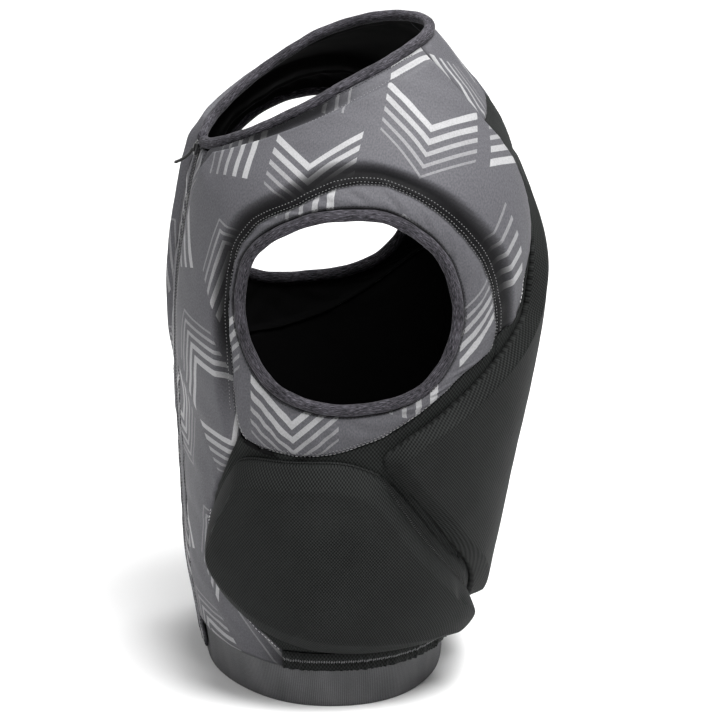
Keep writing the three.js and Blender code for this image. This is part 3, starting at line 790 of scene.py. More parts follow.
def settle(name: str, bm: bmesh.types.BMesh, finish: Finish, replaces: Sequence[str] = (),
           lining: bool = False) -> bpy.types.Object:
    """Turns a bmesh into a piece of the vest.

    Args:
        name: The piece's name.
        bm: Its mesh, which is freed.
        finish: Its finish.
        replaces: The CAD nodes that it stands for.
        lining: Whether it gets a second, inner finish.

    Returns:
        The object.
    """
    name = f"{name}_look" if replaces else name
    mesh = bpy.data.meshes.new(name)
    for face in bm.faces:
        face.smooth = True
    bm.to_mesh(mesh)
    bm.free()
    mesh.materials.append(finish.dress())
    if lining:
        mesh.materials.append(Finish.LINING.dress())
    piece = bpy.data.objects.new(name, mesh)
    bpy.context.scene.collection.objects.link(piece)
    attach(piece, "root")
    if replaces:
        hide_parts(*replaces)
    return piece


def grid_on(points: np.ndarray, outward: np.ndarray, cloth: np.ndarray | None = None, weld: float = 0.0,
            shade: np.ndarray | None = None, into: bmesh.types.BMesh | None = None) -> bmesh.types.BMesh:
    """A grid whose vertices are moved onto given points.

    Args:
        points: Points in metres, along, across.
        outward: The way out at each point.
        cloth: Each point's place on the cloth, for its UV map.
        weld: How near points join into one, in metres.
        shade: How much painted shade each point gets, from 0 to 1.
        into: A bmesh that the grid is added to.

    Returns:
        The bmesh, with the grid's faces outwards.
    """
    bm = into or bmesh.new()
    n, m = points.shape[0] - 1, points.shape[1] - 1
    if into is None:
        bm.loops.layers.uv.new("Cloth")
        bm.verts.layers.float.new("GrooveShade")
    layer, groove = bm.loops.layers.uv["Cloth"], bm.verts.layers.float["GrooveShade"]
    made = bmesh.ops.create_grid(bm, x_segments=n, y_segments=m, size=1.0)["verts"]
    cells = {v: (round((v.co.x + 1) / 2 * n), round((v.co.y + 1) / 2 * m)) for v in made}
    for vert, (i, j) in cells.items():
        vert.co = points[i, j]
        if shade is not None:
            # Painted shade, partly the pressed cloth's own darker colour, stored per point.
            vert[groove] = float(shade[i, j])
        if cloth is not None:
            for loop in vert.link_loops:
                loop[layer].uv = cloth[i, j]
    bm.normal_update()
    faces = {face for vert in cells for face in vert.link_faces}
    facing = sum(face.normal.dot(Vector(outward[cells[face.verts[0]]])) * face.calc_area() for face in faces)
    if facing < 0:
        bmesh.ops.reverse_faces(bm, faces=list(faces))
    if weld:
        bmesh.ops.remove_doubles(bm, verts=bm.verts, dist=weld)
    return bm


def unroll(piece: bpy.types.Object) -> None:
    """Lays a piece's cloth flat in its UV map, at its real size and with its height upwards.

    Args:
        piece: The object.
    """
    bpy.context.view_layer.objects.active = piece
    piece.select_set(True)
    bpy.ops.object.mode_set(mode="EDIT")
    bpy.ops.mesh.select_all(action="SELECT")
    bpy.ops.uv.unwrap(method="ANGLE_BASED", margin=0.0)
    bpy.ops.object.mode_set(mode="OBJECT")
    piece.select_set(False)
    mesh = piece.data
    uv = np.zeros(len(mesh.loops) * 2)
    mesh.uv_layers["Cloth"].data.foreach_get("uv", uv)
    uv = uv.reshape(-1, 2)
    corner = np.zeros(len(mesh.loops), np.int64)
    mesh.loops.foreach_get("vertex_index", corner)
    place = np.zeros(len(mesh.vertices) * 3)
    mesh.vertices.foreach_get("co", place)
    z = place.reshape(-1, 3)[corner, 2]
    flat = 0.0
    for polygon in mesh.polygons:
        a = uv[list(polygon.loop_indices)]
        b = np.roll(a, -1, axis=0)
        flat += abs((a[:, 0] * b[:, 1] - b[:, 0] * a[:, 1]).sum()) / 2
    scale = math.sqrt(sum(p.area for p in mesh.polygons) / max(flat, 1e-12))
    middle = uv.mean(axis=0)
    slope = np.linalg.lstsq(uv - middle, z - z.mean(), rcond=None)[0]
    c, s = slope[::-1] / np.linalg.norm(slope)
    turned = (uv - middle) @ np.array([[c, s], [-s, c]]) * scale
    mesh.uv_layers["Cloth"].data.foreach_set("uv", turned.ravel())


@dataclass
class Panel:
    """A piece of cloth between two edges of the form."""

    name: str
    near: np.ndarray
    far: np.ndarray
    slot: str
    finish: Finish
    side: int = 1
    across: int = 24
    joined: bool = False
    near_trim: float = -0.0003
    far_trim: float = -0.0003
    lift: Relief | None = None
    # The panel's painted shade, from 0 to 1.
    shade: Relief | None = None
    wall: float = 0.003
    cloth_wall: float = 0.0018
    roll: float = 0.0013
    roll_reach: float = 0.0022
    # How much painted shade the rolled-in edges get.
    roll_shade: float = 0.45
    open_ends: bool = True
    layout: Layout = Layout.WRAP
    creases: bool = True
    crowd: float = 0.11
    calm: tuple[float, float] = (0.006, 0.024)
    held: str = "stretched"
    points: np.ndarray = field(init=False)
    outward: np.ndarray = field(init=False)

    def build(self, form: Form) -> bpy.types.Object:
        """Makes the panel's mesh and dresses it.

        Args:
            form: The body that it lies on.

        Returns:
            The object.
        """
        near = form.inset(self.near, self.far, self.near_trim, self.joined)
        far = form.inset(self.far, self.near, self.far_trim, self.joined)
        if self.joined:
            near, far = np.vstack([near, near[:1]]), np.vstack([far, far[:1]])
        share = np.linspace(0, 1, self.across + 1)
        share = share - self.crowd * np.sin(2 * np.pi * share)
        places = near[:, None] * (1 - share)[None, :, None] + far[:, None] * share[None, :, None]
        base = form.surface(places)
        along = np.broadcast_to(np.linspace(0, 1, len(near))[:, None], places.shape[:2])
        come = way_across(base)
        where = (along, np.broadcast_to(share[None], along.shape), come, come[:, -1:] - come)
        lift = np.full(places.shape[:2], self.wall)
        if self.lift is not None:
            lift = lift + self.lift(*where)
        if self.creases:
            half = base * np.where(base[..., :1] < 0, (-1, 1, 1), (1, 1, 1))
            loose = sum(ripple(half, *swell) for swell in SWELLS)
            at_edge = np.exp(-((np.minimum(where[2], where[3]) / PUCKER_REACH) ** 2))
            loose += at_edge * ripple(half, *PUCKER)
            calm = np.where(half[..., 1] < 0, smooth(*self.calm, half[..., 0]), 1)
            lift += calm * (ridges(form, half, FOLDS + CREASES) + loose)
        rolled = self.edge_roll(base, np.minimum(where[2], where[3]))
        lift -= self.roll * rolled
        # Painted shade at the rolled-in edges, joined by the panel's own painted shade.
        shade = self.roll_shade * rolled
        if self.shade is not None:
            shade = np.maximum(shade, self.shade(*where))
        outward = form.normal(places)
        flip = np.array([self.side, 1, 1])
        self.points = (base + outward * lift[..., None]) * flip
        self.outward = outward * flip
        cloth = self.laid(form, places)
        bm = grid_on(self.points, self.outward, cloth, 1e-7 if self.joined else 0.0, shade)
        area = sum(face.calc_area() for face in bm.faces)
        piece = settle(self.name, bm, self.finish, [self.name], lining=True)
        if self.layout is Layout.FLAT:
            unroll(piece)
        solid = piece.modifiers.new("wall", "SOLIDIFY")
        solid.thickness, solid.offset, solid.material_offset = self.cloth_wall, -1, 1
        self.declare(area)
        return piece

    def edge_roll(self, base: np.ndarray, gap: np.ndarray) -> np.ndarray:
        """How far the cloth is rolled in at each point, from 0 to 1, by its distance from an edge."""
        if self.open_ends and not self.joined:
            gone = way_across(base.transpose(1, 0, 2)).T
            gap = np.minimum(gap, np.minimum(gone, gone[-1:] - gone))
        return np.exp(-((gap / self.roll_reach) ** 2))

    def laid(self, form: Form, places: np.ndarray) -> np.ndarray:
        """Each point's place on the cloth, by the panel's layout."""
        if self.layout is Layout.STRIP:
            middle = self.points[:, self.points.shape[1] // 2]
            run = way_along(middle)
            rise = way_across(self.points)
            return np.stack([np.broadcast_to(run[:, None], rise.shape), rise], axis=-1)
        return np.stack([self.side * form.arc(places[..., 0]), self.points[..., 2]], axis=-1)

    def declare(self, area: float) -> None:
        """Works out how large the piece was cut, and logs its points and area."""
        width = np.linalg.norm(np.diff(self.points, axis=1), axis=2).sum(axis=1).max()
        length = max(area / width, np.linalg.norm(np.diff(self.points, axis=0), axis=2).sum(axis=0).max())
        length = min(length, area / width / 0.32)
        LOG.info("%s: %d points, %.4f m2", self.name, self.points.size // 3, area)
        if width < 0.01:
            return

    def line(self, distance: float, from_far: bool = False, start: float = 0.0,
             stop: float = 1.0) -> tuple[np.ndarray, np.ndarray]:
        """A line on the panel beside one of its edges.

        Args:
            distance: How far from the edge, in metres.
            from_far: Whether the edge is the far one.
            start: The share of the edge to begin at.
            stop: The share of the edge to end at.

        Returns:
            The line's points and the ways out there.
        """
        points = self.points[:, ::-1] if from_far else self.points
        outward = self.outward[:, ::-1] if from_far else self.outward
        rows = range(int(start * (len(points) - 1)), int(round(stop * (len(points) - 1))) + 1)
        made, out = [], []
        for i in rows:
            run = way_along(points[i])
            made.append([np.interp(distance, run, points[i, :, k]) for k in range(3)])
            out.append([np.interp(distance, run, outward[i, :, k]) for k in range(3)])
        return np.array(made), unit(np.array(out))


@dataclass
class Stitches:
    """Rows of stitches, each one a short rounded bead of thread."""

    name: str
    finish: Finish
    slot: str
    length: float = 0.0024
    pitch: float = 0.0032
    thickness: float = 0.00055
    slant: float = 0.0
    rows: list[tuple[np.ndarray, np.ndarray]] = field(default_factory=list)

    def add(self, row: tuple[np.ndarray, np.ndarray]) -> None:
        """Adds a line with its ways out."""
        self.rows.append(row)

    def build(self) -> bpy.types.Object:
        """Places the stitches along every row.

        Returns:
            The object.
        """
        bead = bpy.data.meshes.new(self.name + "_bead")
        small = bmesh.new()
        bmesh.ops.create_icosphere(small, subdivisions=1, radius=0.5)
        bmesh.ops.scale(small, vec=(self.length, self.thickness, self.thickness), verts=small.verts)
        small.to_mesh(bead)
        small.free()
        bm = bmesh.new()
        for points, outward in self.rows:
            run = way_along(points)
            for at in np.arange(self.pitch / 2, run[-1], self.pitch):
                here = Vector([np.interp(at, run, points[:, k]) for k in range(3)])
                ahead = Vector([np.interp(at + self.pitch / 3, run, points[:, k]) for k in range(3)])
                behind = Vector([np.interp(at - self.pitch / 3, run, points[:, k]) for k in range(3)])
                out = Vector([np.interp(at, run, outward[:, k]) for k in range(3)]).normalized()
                along = (ahead - behind).normalized()
                side = out.cross(along).normalized()
                along = (along * math.cos(self.slant) + side * math.sin(self.slant)).normalized()
                side = out.cross(along).normalized()
                frame = Matrix((along, side, along.cross(side))).transposed().to_4x4()
                frame.translation = here + out * self.thickness * 0.25
                put_copy(bm, bead, frame)
        bpy.data.meshes.remove(bead)
        return settle(self.name, bm, self.finish)


@dataclass
class Binding:
    """A rolled binding along the edge of an opening."""

    name: str
    places: np.ndarray
    side: int = 1
    joined: bool = True
    diameter: float = 0.009
    wall: float = 0.003
    sides: int = 18
    points: np.ndarray = field(init=False)
    outward: np.ndarray = field(init=False)

    def build(self, form: Form) -> bpy.types.Object:
        """Sweeps a soft round section along the edge.

        Args:
            form: The body that it lies on.

        Returns:
            The object.
        """
        places = np.vstack([self.places, self.places[:1]]) if self.joined else self.places
        flip = np.array([self.side, 1, 1])
        centre = form.point(places, self.wall / 2) * flip
        normal = form.normal(places) * flip
        along = unit(np.gradient(centre, axis=0))
        if self.joined:
            along[0] = along[-1] = unit(centre[1] - centre[-2])
        across = unit(np.cross(along, normal))
        out = unit(np.cross(across, along))
        run = way_along(centre)
        radius = np.full(len(centre), self.diameter / 2)
        if not self.joined:
            end = np.minimum(run, run[-1] - run)
            radius *= np.sqrt(np.clip(1 - (1 - np.clip(end / (self.diameter * 0.45), 0, 1)) ** 2, 1e-4, 1))
        angle = np.linspace(0, 2 * np.pi, self.sides + 1)
        swell = 1 + 0.045 * np.sin(run / 0.009)[:, None] * np.cos(angle)[None]
        swell = swell + 0.03 * np.sin(run / 0.0037)[:, None]
        if self.joined:
            swell = 1 + (swell - 1) * np.minimum(1, np.minimum(run, run[-1] - run) / 0.01)[:, None]
        flat = 1 - 0.12 * np.abs(np.sin(angle))[None]
        ring = across[:, None] * (np.cos(angle)[None] * swell)[..., None] \
            + out[:, None] * (np.sin(angle)[None] * flat * swell)[..., None]
        self.points = centre[:, None] + ring * radius[:, None, None]
        self.outward = ring
        cloth = np.stack(np.broadcast_arrays(run[:, None], angle[None] * self.diameter / 2), axis=-1)
        bm = grid_on(self.points, ring, cloth, 1e-6)
        return settle(self.name, bm, Finish.HEATHER, [self.name])

    def line(self, turn: float, lift: float = 0.0) -> tuple[np.ndarray, np.ndarray]:
        """A line along the binding at an angle round its section."""
        j = int(round((turn % 360) / 360 * self.sides))
        return self.points[:, j] + self.outward[:, j] * lift, self.outward[:, j]


@dataclass
class Pad:
    """A moulded foam pad under mesh, with a sloping rim and a sewn lip."""

    name: str
    base: float
    thickness: float
    bevel: float
    side: int = 1

    def dress(self, bm: bmesh.types.BMesh, weld: float, fill: float) -> bpy.types.Object:
        """Closes the pad's mesh and gives it its cover.

        Args:
            bm: The pad's mesh.
            weld: How near points join, in metres.
            fill: How full the pad is; not used.

        Returns:
            The object.
        """
        bmesh.ops.remove_doubles(bm, verts=bm.verts, dist=weld)
        bmesh.ops.dissolve_degenerate(bm, dist=weld, edges=bm.edges)
        bmesh.ops.holes_fill(bm, edges=[e for e in bm.edges if e.is_boundary], sides=0)
        bmesh.ops.recalc_face_normals(bm, faces=bm.faces)
        piece = settle(self.name, bm, Finish.PAD_MESH, [self.name])
        return piece


@dataclass
class RibPad(Pad):
    """The pad at the ribs: rings of its outline drawn in towards its spine."""

    outline_steps: int = 200
    ladder_steps: int = 40
    drawn_most: float = 0.6
    points: np.ndarray = field(init=False)
    outward: np.ndarray = field(init=False)

    def build(self, form: Form) -> bpy.types.Object:
        """Makes the pad.

        Args:
            form: The body that it lies on.

        Returns:
            The object.
        """
        edge = seam(RIB_PAD, self.outline_steps, closed=True)
        a, b = np.array(RIB_PAD_SPINE, float)
        hub = a + np.clip(((edge - a) @ (b - a)) / ((b - a) @ (b - a)), 0, 1)[:, None] * (b - a)
        reach = np.linalg.norm(form.surface(edge) - form.surface(hub), axis=1)
        lip = self.lip(form, edge, hub)
        rings = [(0 * lip, 0.0), (-lip, 0.01), (-lip - 0.0004, 0.06), (-lip, 0.11), (-0.55 * lip, 0.15),
                 (-0.12 * lip, 0.12), (0 * lip + 0.0002, 0.16), (0 * lip + 0.0004, 0.28)]
        for t in np.linspace(0.04, 1, 12):
            rings.append((self.bevel * t + 0 * lip, 0.28 + 0.67 * t + 0.05 * math.sin(math.pi * t)))
        places, points, outward, cloth = [], [], [], []
        for inwards, height in rings:
            drawn = np.minimum(inwards / reach, self.drawn_most)
            at = edge + (hub - edge) * drawn[:, None]
            self.lay(form, at, np.full(len(at), height), points, outward, cloth)
            places.append(at)
        flip = np.array([self.side, 1, 1])
        self.points = np.array(points).transpose(1, 0, 2) * flip
        self.outward = np.array(outward).transpose(1, 0, 2) * flip
        bm = grid_on(self.points, self.outward, np.array(cloth).transpose(1, 0, 2))
        half = self.outline_steps // 2
        for ring, height, dome in ((places[-1], 0.95, 0.05), (places[0], 0.0, 0.0)):
            ahead, behind = ring[:half + 1], ring[::-1][:half + 1]
            share = np.linspace(0, 1, self.ladder_steps + 1)
            at = ahead[:, None] * (1 - share)[None, :, None] + behind[:, None] * share[None, :, None]
            size = np.linalg.norm(form.surface(ahead) - form.surface(behind), axis=1)[:, None]
            away = np.minimum(share, 1 - share)[None] * size
            top: tuple[list, list, list] = ([], [], [])
            self.lay(form, at, height + dome * smooth(0, 0.022, away), *top)
            face = [np.array(part[0]) for part in top]
            grid_on(face[0] * flip, face[1] * flip * (1 if dome else -1), face[2], into=bm)
        return self.dress(bm, 2e-6, 0.9)

    def lip(self, form: Form, edge: np.ndarray, hub: np.ndarray) -> np.ndarray:
        """How wide the sewn lip is: narrow, but as wide as the gap where the back pad is near.

        Args:
            form: The body that the pad lies on.
            edge: The pad's outline.
            hub: The nearest places of its spine.

        Returns:
            Widths in metres.
        """
        other = form.surface(seam(BACK_PAD, 160))
        gap = np.linalg.norm(form.surface(edge)[:, None] - other[None], axis=2).min(axis=1)
        facing = smooth(90, 99, edge[:, 0]) * smooth(0.5, 3, edge[:, 1] - hub[:, 1])
        facing *= 1 - smooth(140, 147, edge[:, 0])
        return 0.0012 + facing * np.clip(gap - 0.0042, 0, 0.0115)

    def lay(self, form: Form, at: np.ndarray, height: np.ndarray, points: list, outward: list,
            cloth: list) -> None:
        """Adds points at shares of the pad's thickness over the form.

        Args:
            form: The body that the pad lies on.
            at: Turns and rises.
            height: Shares of the thickness.
            points: Where the points go.
            outward: Where the ways out go.
            cloth: Where the places on the cloth go.
        """
        here, normal = form.surface(at), form.normal(at)
        soft = ripple(here, 0.05, 0.0005) * smooth(0.2, 0.6, height)
        points.append(here + normal * (self.base + self.thickness * height + soft)[..., None])
        outward.append(normal)
        cloth.append(np.stack([self.side * form.arc(at[..., 0]), here[..., 2]], axis=-1))

    def rim(self, ring: int, start: float, stop: float) -> tuple[np.ndarray, np.ndarray]:
        """A part of one of the pad's rings."""
        n = len(self.points) - 1
        part = slice(int(start * n), int(stop * n) + 1)
        return self.points[part, ring], self.outward[part, ring]


@dataclass
class BackPad(Pad):
    """The pad down the back, with a point to each side."""

    steps: int = 150
    girth: float = 0.164
    thin_from: float = 66.0
    thin_to: float = 78.0

    def build(self, form: Form) -> bpy.types.Object:
        """Makes the pad from edge to edge across the centre.

        Args:
            form: The body that it lies on.

        Returns:
            The object.
        """
        edge = seam(BACK_PAD, self.steps)
        other = mirrored(edge)
        width = (180 - edge[:, 0]) * 2 * math.radians(1) * self.girth
        run = way_along(form.surface(edge))
        from_end = np.minimum(run, run[-1] - run)
        rim = np.concatenate([np.linspace(0, 1, 10) ** 1.2, 1 + np.linspace(0.15, 1, 4)])
        rows, outward, cloth = [], [], []
        for i in range(len(edge)):
            steps = np.minimum(rim * self.bevel / width[i], 0.5 - 0.03 * (rim[-1] - rim))
            middle = np.linspace(steps[-1], 1 - steps[-1], 30)[1:-1]
            share = np.concatenate([steps, middle, 1 - steps[::-1]])
            at = edge[i] + (other[i] - edge[i]) * share[:, None]
            away = np.minimum(np.minimum(share, 1 - share) * width[i], from_end[i] + 0.001)
            height = np.minimum(1, 0.3 + 0.7 * away / self.bevel)
            height = np.where(height > 0.93, 0.93 + 0.07 * np.minimum(1, (height - 0.93) / 0.07), height)
            here, normal = form.surface(at), form.normal(at)
            thin = 1 - 0.6 * smooth(self.thin_from, self.thin_to, at[:, 1])
            top = here + normal * (self.base + self.thickness * height * thin)[:, None]
            low = here[::-1] + normal[::-1] * self.base
            lip = np.array([top[-1] + (low[0] - top[-1]) * t for t in (0.35, 0.7)])
            rows.append(np.concatenate([top, lip, low, [top[0] + (low[-1] - top[0]) * 0.5, top[0]]]))
            outward.append(np.concatenate(
                [normal, normal[-1:], normal[-1:], -normal[::-1], normal[:1], normal[:1]]))
            flat = np.stack([form.arc(at[:, 0]), top[:, 2]], axis=1)
            cloth.append(np.concatenate([flat, flat[-1:], flat[-1:], flat[::-1], flat[:1], flat[:1]]))
        return self.dress(grid_on(np.array(rows), np.array(outward), np.array(cloth)), 1e-6, 0.9)


@dataclass
class Shell:
    """The sewn shell: front panels, armhole bands, side panels, back, yoke and plackets."""

    form: Form
    steps: int = 6
    teeth_half: float = 0.0023
    tape_width: float = 0.0045
    placket_width: float = 0.017
    placket_walls: tuple[float, float] = (0.003, 0.0018)
    tape_walls: tuple[float, float] = (0.0017, 0.001)
    tape_laps: tuple[float, float] = (0.0004, 0.0012)
    chest_raise: float = 0.006
    band_raise: float = 0.002
    binding_trim: float = 0.0036
    neck_strip: float = 0.0125
    zip_top_turn: float = 10.0
    zip_top_trim: float = 0.0052
    chest_level: float = 60.0
    panels: dict[str, Panel] = field(default_factory=dict)

    @property
    def placket_edge(self) -> float:
        """How far the placket's inner edge lies from the centre plane."""
        return self.teeth_half + self.tape_width

    @property
    def front_edge(self) -> float:
        """How far the front panel begins from the centre plane."""
        return self.placket_edge + self.placket_width

    @property
    def zip_top(self) -> float:
        """The rise at which the zip and its plackets end, just clear of the neck binding."""
        turn = self.zip_top_turn
        edge = np.array([[turn - 1, NECK], [turn, NECK], [turn + 1, NECK]])
        low = np.array([[turn, self.chest_level]] * 3)
        return float(self.form.inset(edge, low, self.zip_top_trim, False)[1][1])

    def add(self, panel: Panel) -> None:
        """Builds a panel and keeps it."""
        panel.build(self.form)
        self.panels[panel.name] = panel

    def chest_lift(self, along: np.ndarray, across: np.ndarray, near: np.ndarray,
                   far: np.ndarray) -> np.ndarray:
        """How far the sewn-in chest and shoulder pad lifts the print, and the groove beside it."""
        ring = smooth(0.4, 0.47, along)
        reach = self.groove_reach(along)
        raised = ring * smooth(reach - 0.001, reach + 0.0063, near)
        raised = raised * smooth(self.neck_strip, self.neck_strip + 0.007, far)
        raised *= 1 - smooth(0.93, 0.99, along) * 0.6
        groove = ring * np.exp(-(((near + 0.001) / reach) ** 6))
        groove = groove + 0.6 * ring * np.exp(-(((far - self.neck_strip) / 0.0015) ** 2))
        return self.chest_raise * raised - 0.0011 * groove

    def groove_reach(self, along: np.ndarray) -> np.ndarray:
        """How wide the groove round the armhole is: wider at the rear than in front."""
        return 0.0092 + 0.0038 * smooth(0.58, 0.74, along)

    def chest_shade(self, along: np.ndarray, across: np.ndarray, near: np.ndarray,
                    far: np.ndarray) -> np.ndarray:
        """Painted shade in the groove round the armhole, partly the pressed cloth's own darker colour, and
        painted shade in the ruffles below the neck; also darker near the bottom of the rear seam.
        """
        ring = smooth(0.42, 0.5, along)
        # Painted shade in the groove, reaching over the raised slope beside it.
        groove = ring * np.exp(-((near / (self.groove_reach(along) + 0.0045)) ** 8))
        # Painted shade in the ruffles below the neck binding.
        ruffle_shade = (0.45 + 0.55 * smooth(0.685, 0.715, along)) * (1 - smooth(0.775, 0.83, along))
        neck = ring * ruffle_shade * np.exp(-((far / (self.neck_strip + 0.0005)) ** 8))
        # Darker near the bottom of the rear seam.
        hem = (1 - smooth(0.0, 0.1, along)) * np.exp(-((near / 0.016) ** 2))
        return np.clip(groove + 0.95 * neck + 0.7 * hem, 0, 1)

    def band_lift(self, along: np.ndarray, across: np.ndarray, near: np.ndarray,
                  far: np.ndarray) -> np.ndarray:
        """How far the band round an armhole puffs out between its seams."""
        puff = np.sin(np.pi * np.clip((across - 0.02) / 0.9, 0, 1)) ** 0.8
        wrinkle = np.sin(along * 2 * np.pi * 37 + 9 * across) * np.sin(along * 2 * np.pi * 11 + 1.3)
        groove = np.exp(-((far / 0.0035) ** 4))
        return self.band_raise * puff + 0.0011 * wrinkle * np.sin(np.pi * across) - 0.0008 * groove

    def band_shade(self, along: np.ndarray, across: np.ndarray, near: np.ndarray,
                   far: np.ndarray) -> np.ndarray:
        """Painted shade in the band's grooves, partly the pressed cloth's own darker colour: not where it meets
        the side panel.
        """
        low = smooth(0.56, 0.62, along) * (1 - smooth(0.9, 0.96, along))
        outer = np.exp(-((far / 0.0038) ** 4)) * (1 - low)
        inner = np.exp(-((near / 0.0022) ** 4))
        return np.clip(0.97 * outer + 0.95 * inner, 0, 1)

    def front(self, side: int, hand: str) -> None:
        """Makes a front panel: up the chest, over the shoulder and down behind the armhole."""
        form, k = self.form, self.steps
        rear = seam(FRONT_REAR_SEAM, 15)
        band = seam(ARMHOLE_BAND_EDGE, 32, closed=True)[:-1]
        near = np.vstack([[[FRONT_REAR_SEAM[0][0], HEM_BOTTOM]], rear, band[29:], band[:19]])
        chest = near[:25]
        share = np.clip((chest[:, 1] - chest[0, 1]) / (chest[-1, 1] - chest[0, 1]), 0, None) ** 1.15
        rises = FRONT_BOTTOM + (self.zip_top - FRONT_BOTTOM) * share
        inner = np.stack([form.turn_beside(self.front_edge, rises), rises], axis=1)
        start = float(form.turn_beside(self.front_edge, np.array([NECK]))[0])
        neck = level(start, YOKE_NECK_TURN, NECK, 9)
        low = np.stack([neck[:, 0], np.full(10, self.chest_level)], axis=1)
        neck = form.inset(neck, low, self.binding_trim, False)
        back = seam(BACK_SEAM, 3)[::-1]
        far = np.vstack([inner, neck, back])
        self.add(Panel(
            f"front_panel_{hand}", flow(near, k, (1, 16)), flow(far, k, (24, 25, 34, 35)), "print",
            Finish.PRINT, side, across=56, lift=self.chest_lift, shade=self.chest_shade, layout=Layout.FLAT))

    def armhole_band(self, side: int, hand: str) -> None:
        """Makes the band round an armhole."""
        count = 32 * self.steps
        self.add(Panel(
            f"armhole_band_{hand}", seam(ARMHOLE, count, closed=True)[:-1],
            seam(ARMHOLE_BAND_EDGE, count, closed=True)[:-1], "print", Finish.PRINT, side, across=22,
            joined=True, near_trim=self.binding_trim, lift=self.band_lift, shade=self.band_shade,
            layout=Layout.FLAT))

    def side_panel(self, side: int, hand: str) -> None:
        """Makes the stretch panel at the ribs."""
        k = self.steps
        rear = seam(FRONT_REAR_SEAM, 15)
        band = seam(ARMHOLE_BAND_EDGE, 32, closed=True)[:-1]
        near = np.vstack([rear, band[18:28][::-1]])
        far = np.vstack([seam(SIDE_BACK_SEAM, 15, stop=0.45), seam(SIDE_BACK_SEAM, 9, start=0.49, stop=1.0)])
        self.add(Panel(
            f"side_panel_{hand}", flow(near, k, (15,)), flow(far, k), "black_mesh", Finish.MESH, side,
            across=40))

    def back(self) -> None:
        """Makes the back panel."""
        edge = flow(np.vstack([seam(SIDE_BACK_SEAM, 14), seam(BACK_SEAM, 3)]), self.steps, (14, 15))
        self.add(Panel("back_panel", edge, mirrored(edge), "black_mesh", Finish.MESH, across=60))

    def yoke(self) -> None:
        """Makes the printed strip behind the neck."""
        count = 8 * self.steps
        turn = BACK_SEAM[-1][0]
        neck = level(YOKE_NECK_TURN, 360 - YOKE_NECK_TURN, NECK, count)
        self.add(Panel(
            "back_yoke", level(turn, 360 - turn, YOKE_BOTTOM, count), neck, "print", Finish.PRINT,
            across=18, far_trim=self.binding_trim))

    def strip(self, name: str, hand: str, side: int, edges: tuple[float, float], finish: Finish, slot: str,
              walls: tuple[float, float]) -> None:
        """Makes a strip beside the zip.

        Args:
            name: The strip's name, without its hand.
            hand: left or right.
            side: 1 for the left, -1 for the right.
            edges: How far its edges lie from the centre plane.
            finish: Its finish.
            slot: Its material's name.
            walls: How high it lies over the form, and how thick its cloth is.
        """
        wall, cloth_wall = walls
        rises = np.linspace(PLACKET_BOTTOM, self.zip_top, 120)
        near, far = (np.stack([self.form.turn_beside(e, rises), rises], axis=1) for e in edges)
        self.add(Panel(
            f"{name}_{hand}", near, far, slot, finish, side, across=10, wall=wall, cloth_wall=cloth_wall,
            roll=0.001, layout=Layout.STRIP if finish is Finish.TAPE else Layout.WRAP,
            creases=finish is Finish.PRINT))

    def build(self) -> None:
        """Builds every panel of the shell."""
        for side, hand in HANDS:
            self.front(side, hand)
            self.armhole_band(side, hand)
            self.side_panel(side, hand)
            self.strip("zip_placket", hand, side, (self.placket_edge, self.front_edge), Finish.PRINT,
                       "print", self.placket_walls)
            tape = (self.teeth_half - self.tape_laps[0], self.placket_edge + self.tape_laps[1])
            self.strip("zip_tape", hand, side, tape, Finish.TAPE, "zip_tape", self.tape_walls)
        self.back()
        self.yoke()
        LOG.info("shell: %d panels", len(self.panels))


@dataclass
class Waist:
    """The elastic waist band and the gathered hem over it."""

    form: Form
    count: int = 480
    band_inset: float = 0.0008
    gathers: int = 30
    panels: dict[str, Panel] = field(default_factory=dict)

    def hem_lift(self, along: np.ndarray, across: np.ndarray, near: np.ndarray,
                 far: np.ndarray) -> np.ndarray:
        """How far the gathers of the hem stand out."""
        beat = along * self.gathers * 2.2 + 0.9 * np.sin(along * 41) + 0.5 * np.sin(along * 97 + 1)
        ruffle = (0.5 + 0.5 * np.cos(2 * np.pi * beat)) * (0.5 + 0.5 * np.sin(along * 53) ** 2)
        row = np.exp(-(((across - 0.5) / 0.09) ** 2))
        lip = np.exp(-((near / 0.003) ** 2))
        return 0.0012 + 0.0022 * ruffle * (1 - 0.7 * across) - 0.0012 * row + 0.0008 * lip

    def band_lift(self, along: np.ndarray, across: np.ndarray, near: np.ndarray,
                  far: np.ndarray) -> np.ndarray:
        """The band's soft swell, and its thicker lower edge."""
        return 0.0004 * np.exp(-((across / 0.12) ** 2)) + 0.0003 * np.sin(along * 2 * np.pi * 7) * (1 - across)

    def build(self) -> None:
        """Builds the band and the hem."""
        band = Panel(
            "waist_band", level(0, 360, 0, self.count)[:-1], level(0, 360, BAND_TOP, self.count)[:-1],
            "elastic", Finish.ELASTIC, across=16, joined=True, wall=-self.band_inset, cloth_wall=0.0024,
            roll=0.0006, lift=self.band_lift, layout=Layout.STRIP, creases=False)
        turn = FRONT_REAR_SEAM[0][0]
        low, high = (level(turn, 360 - turn, rise, self.count) for rise in (HEM_BOTTOM, HEM_TOP))
        hem = Panel(
            "gathered_hem", low, high, "black_mesh", Finish.MESH, across=14, lift=self.hem_lift,
            layout=Layout.STRIP, held="gathered", creases=False)
        for panel in (band, hem):
            panel.build(self.form)
            self.panels[panel.name] = panel
        LOG.info("waist: band and hem")


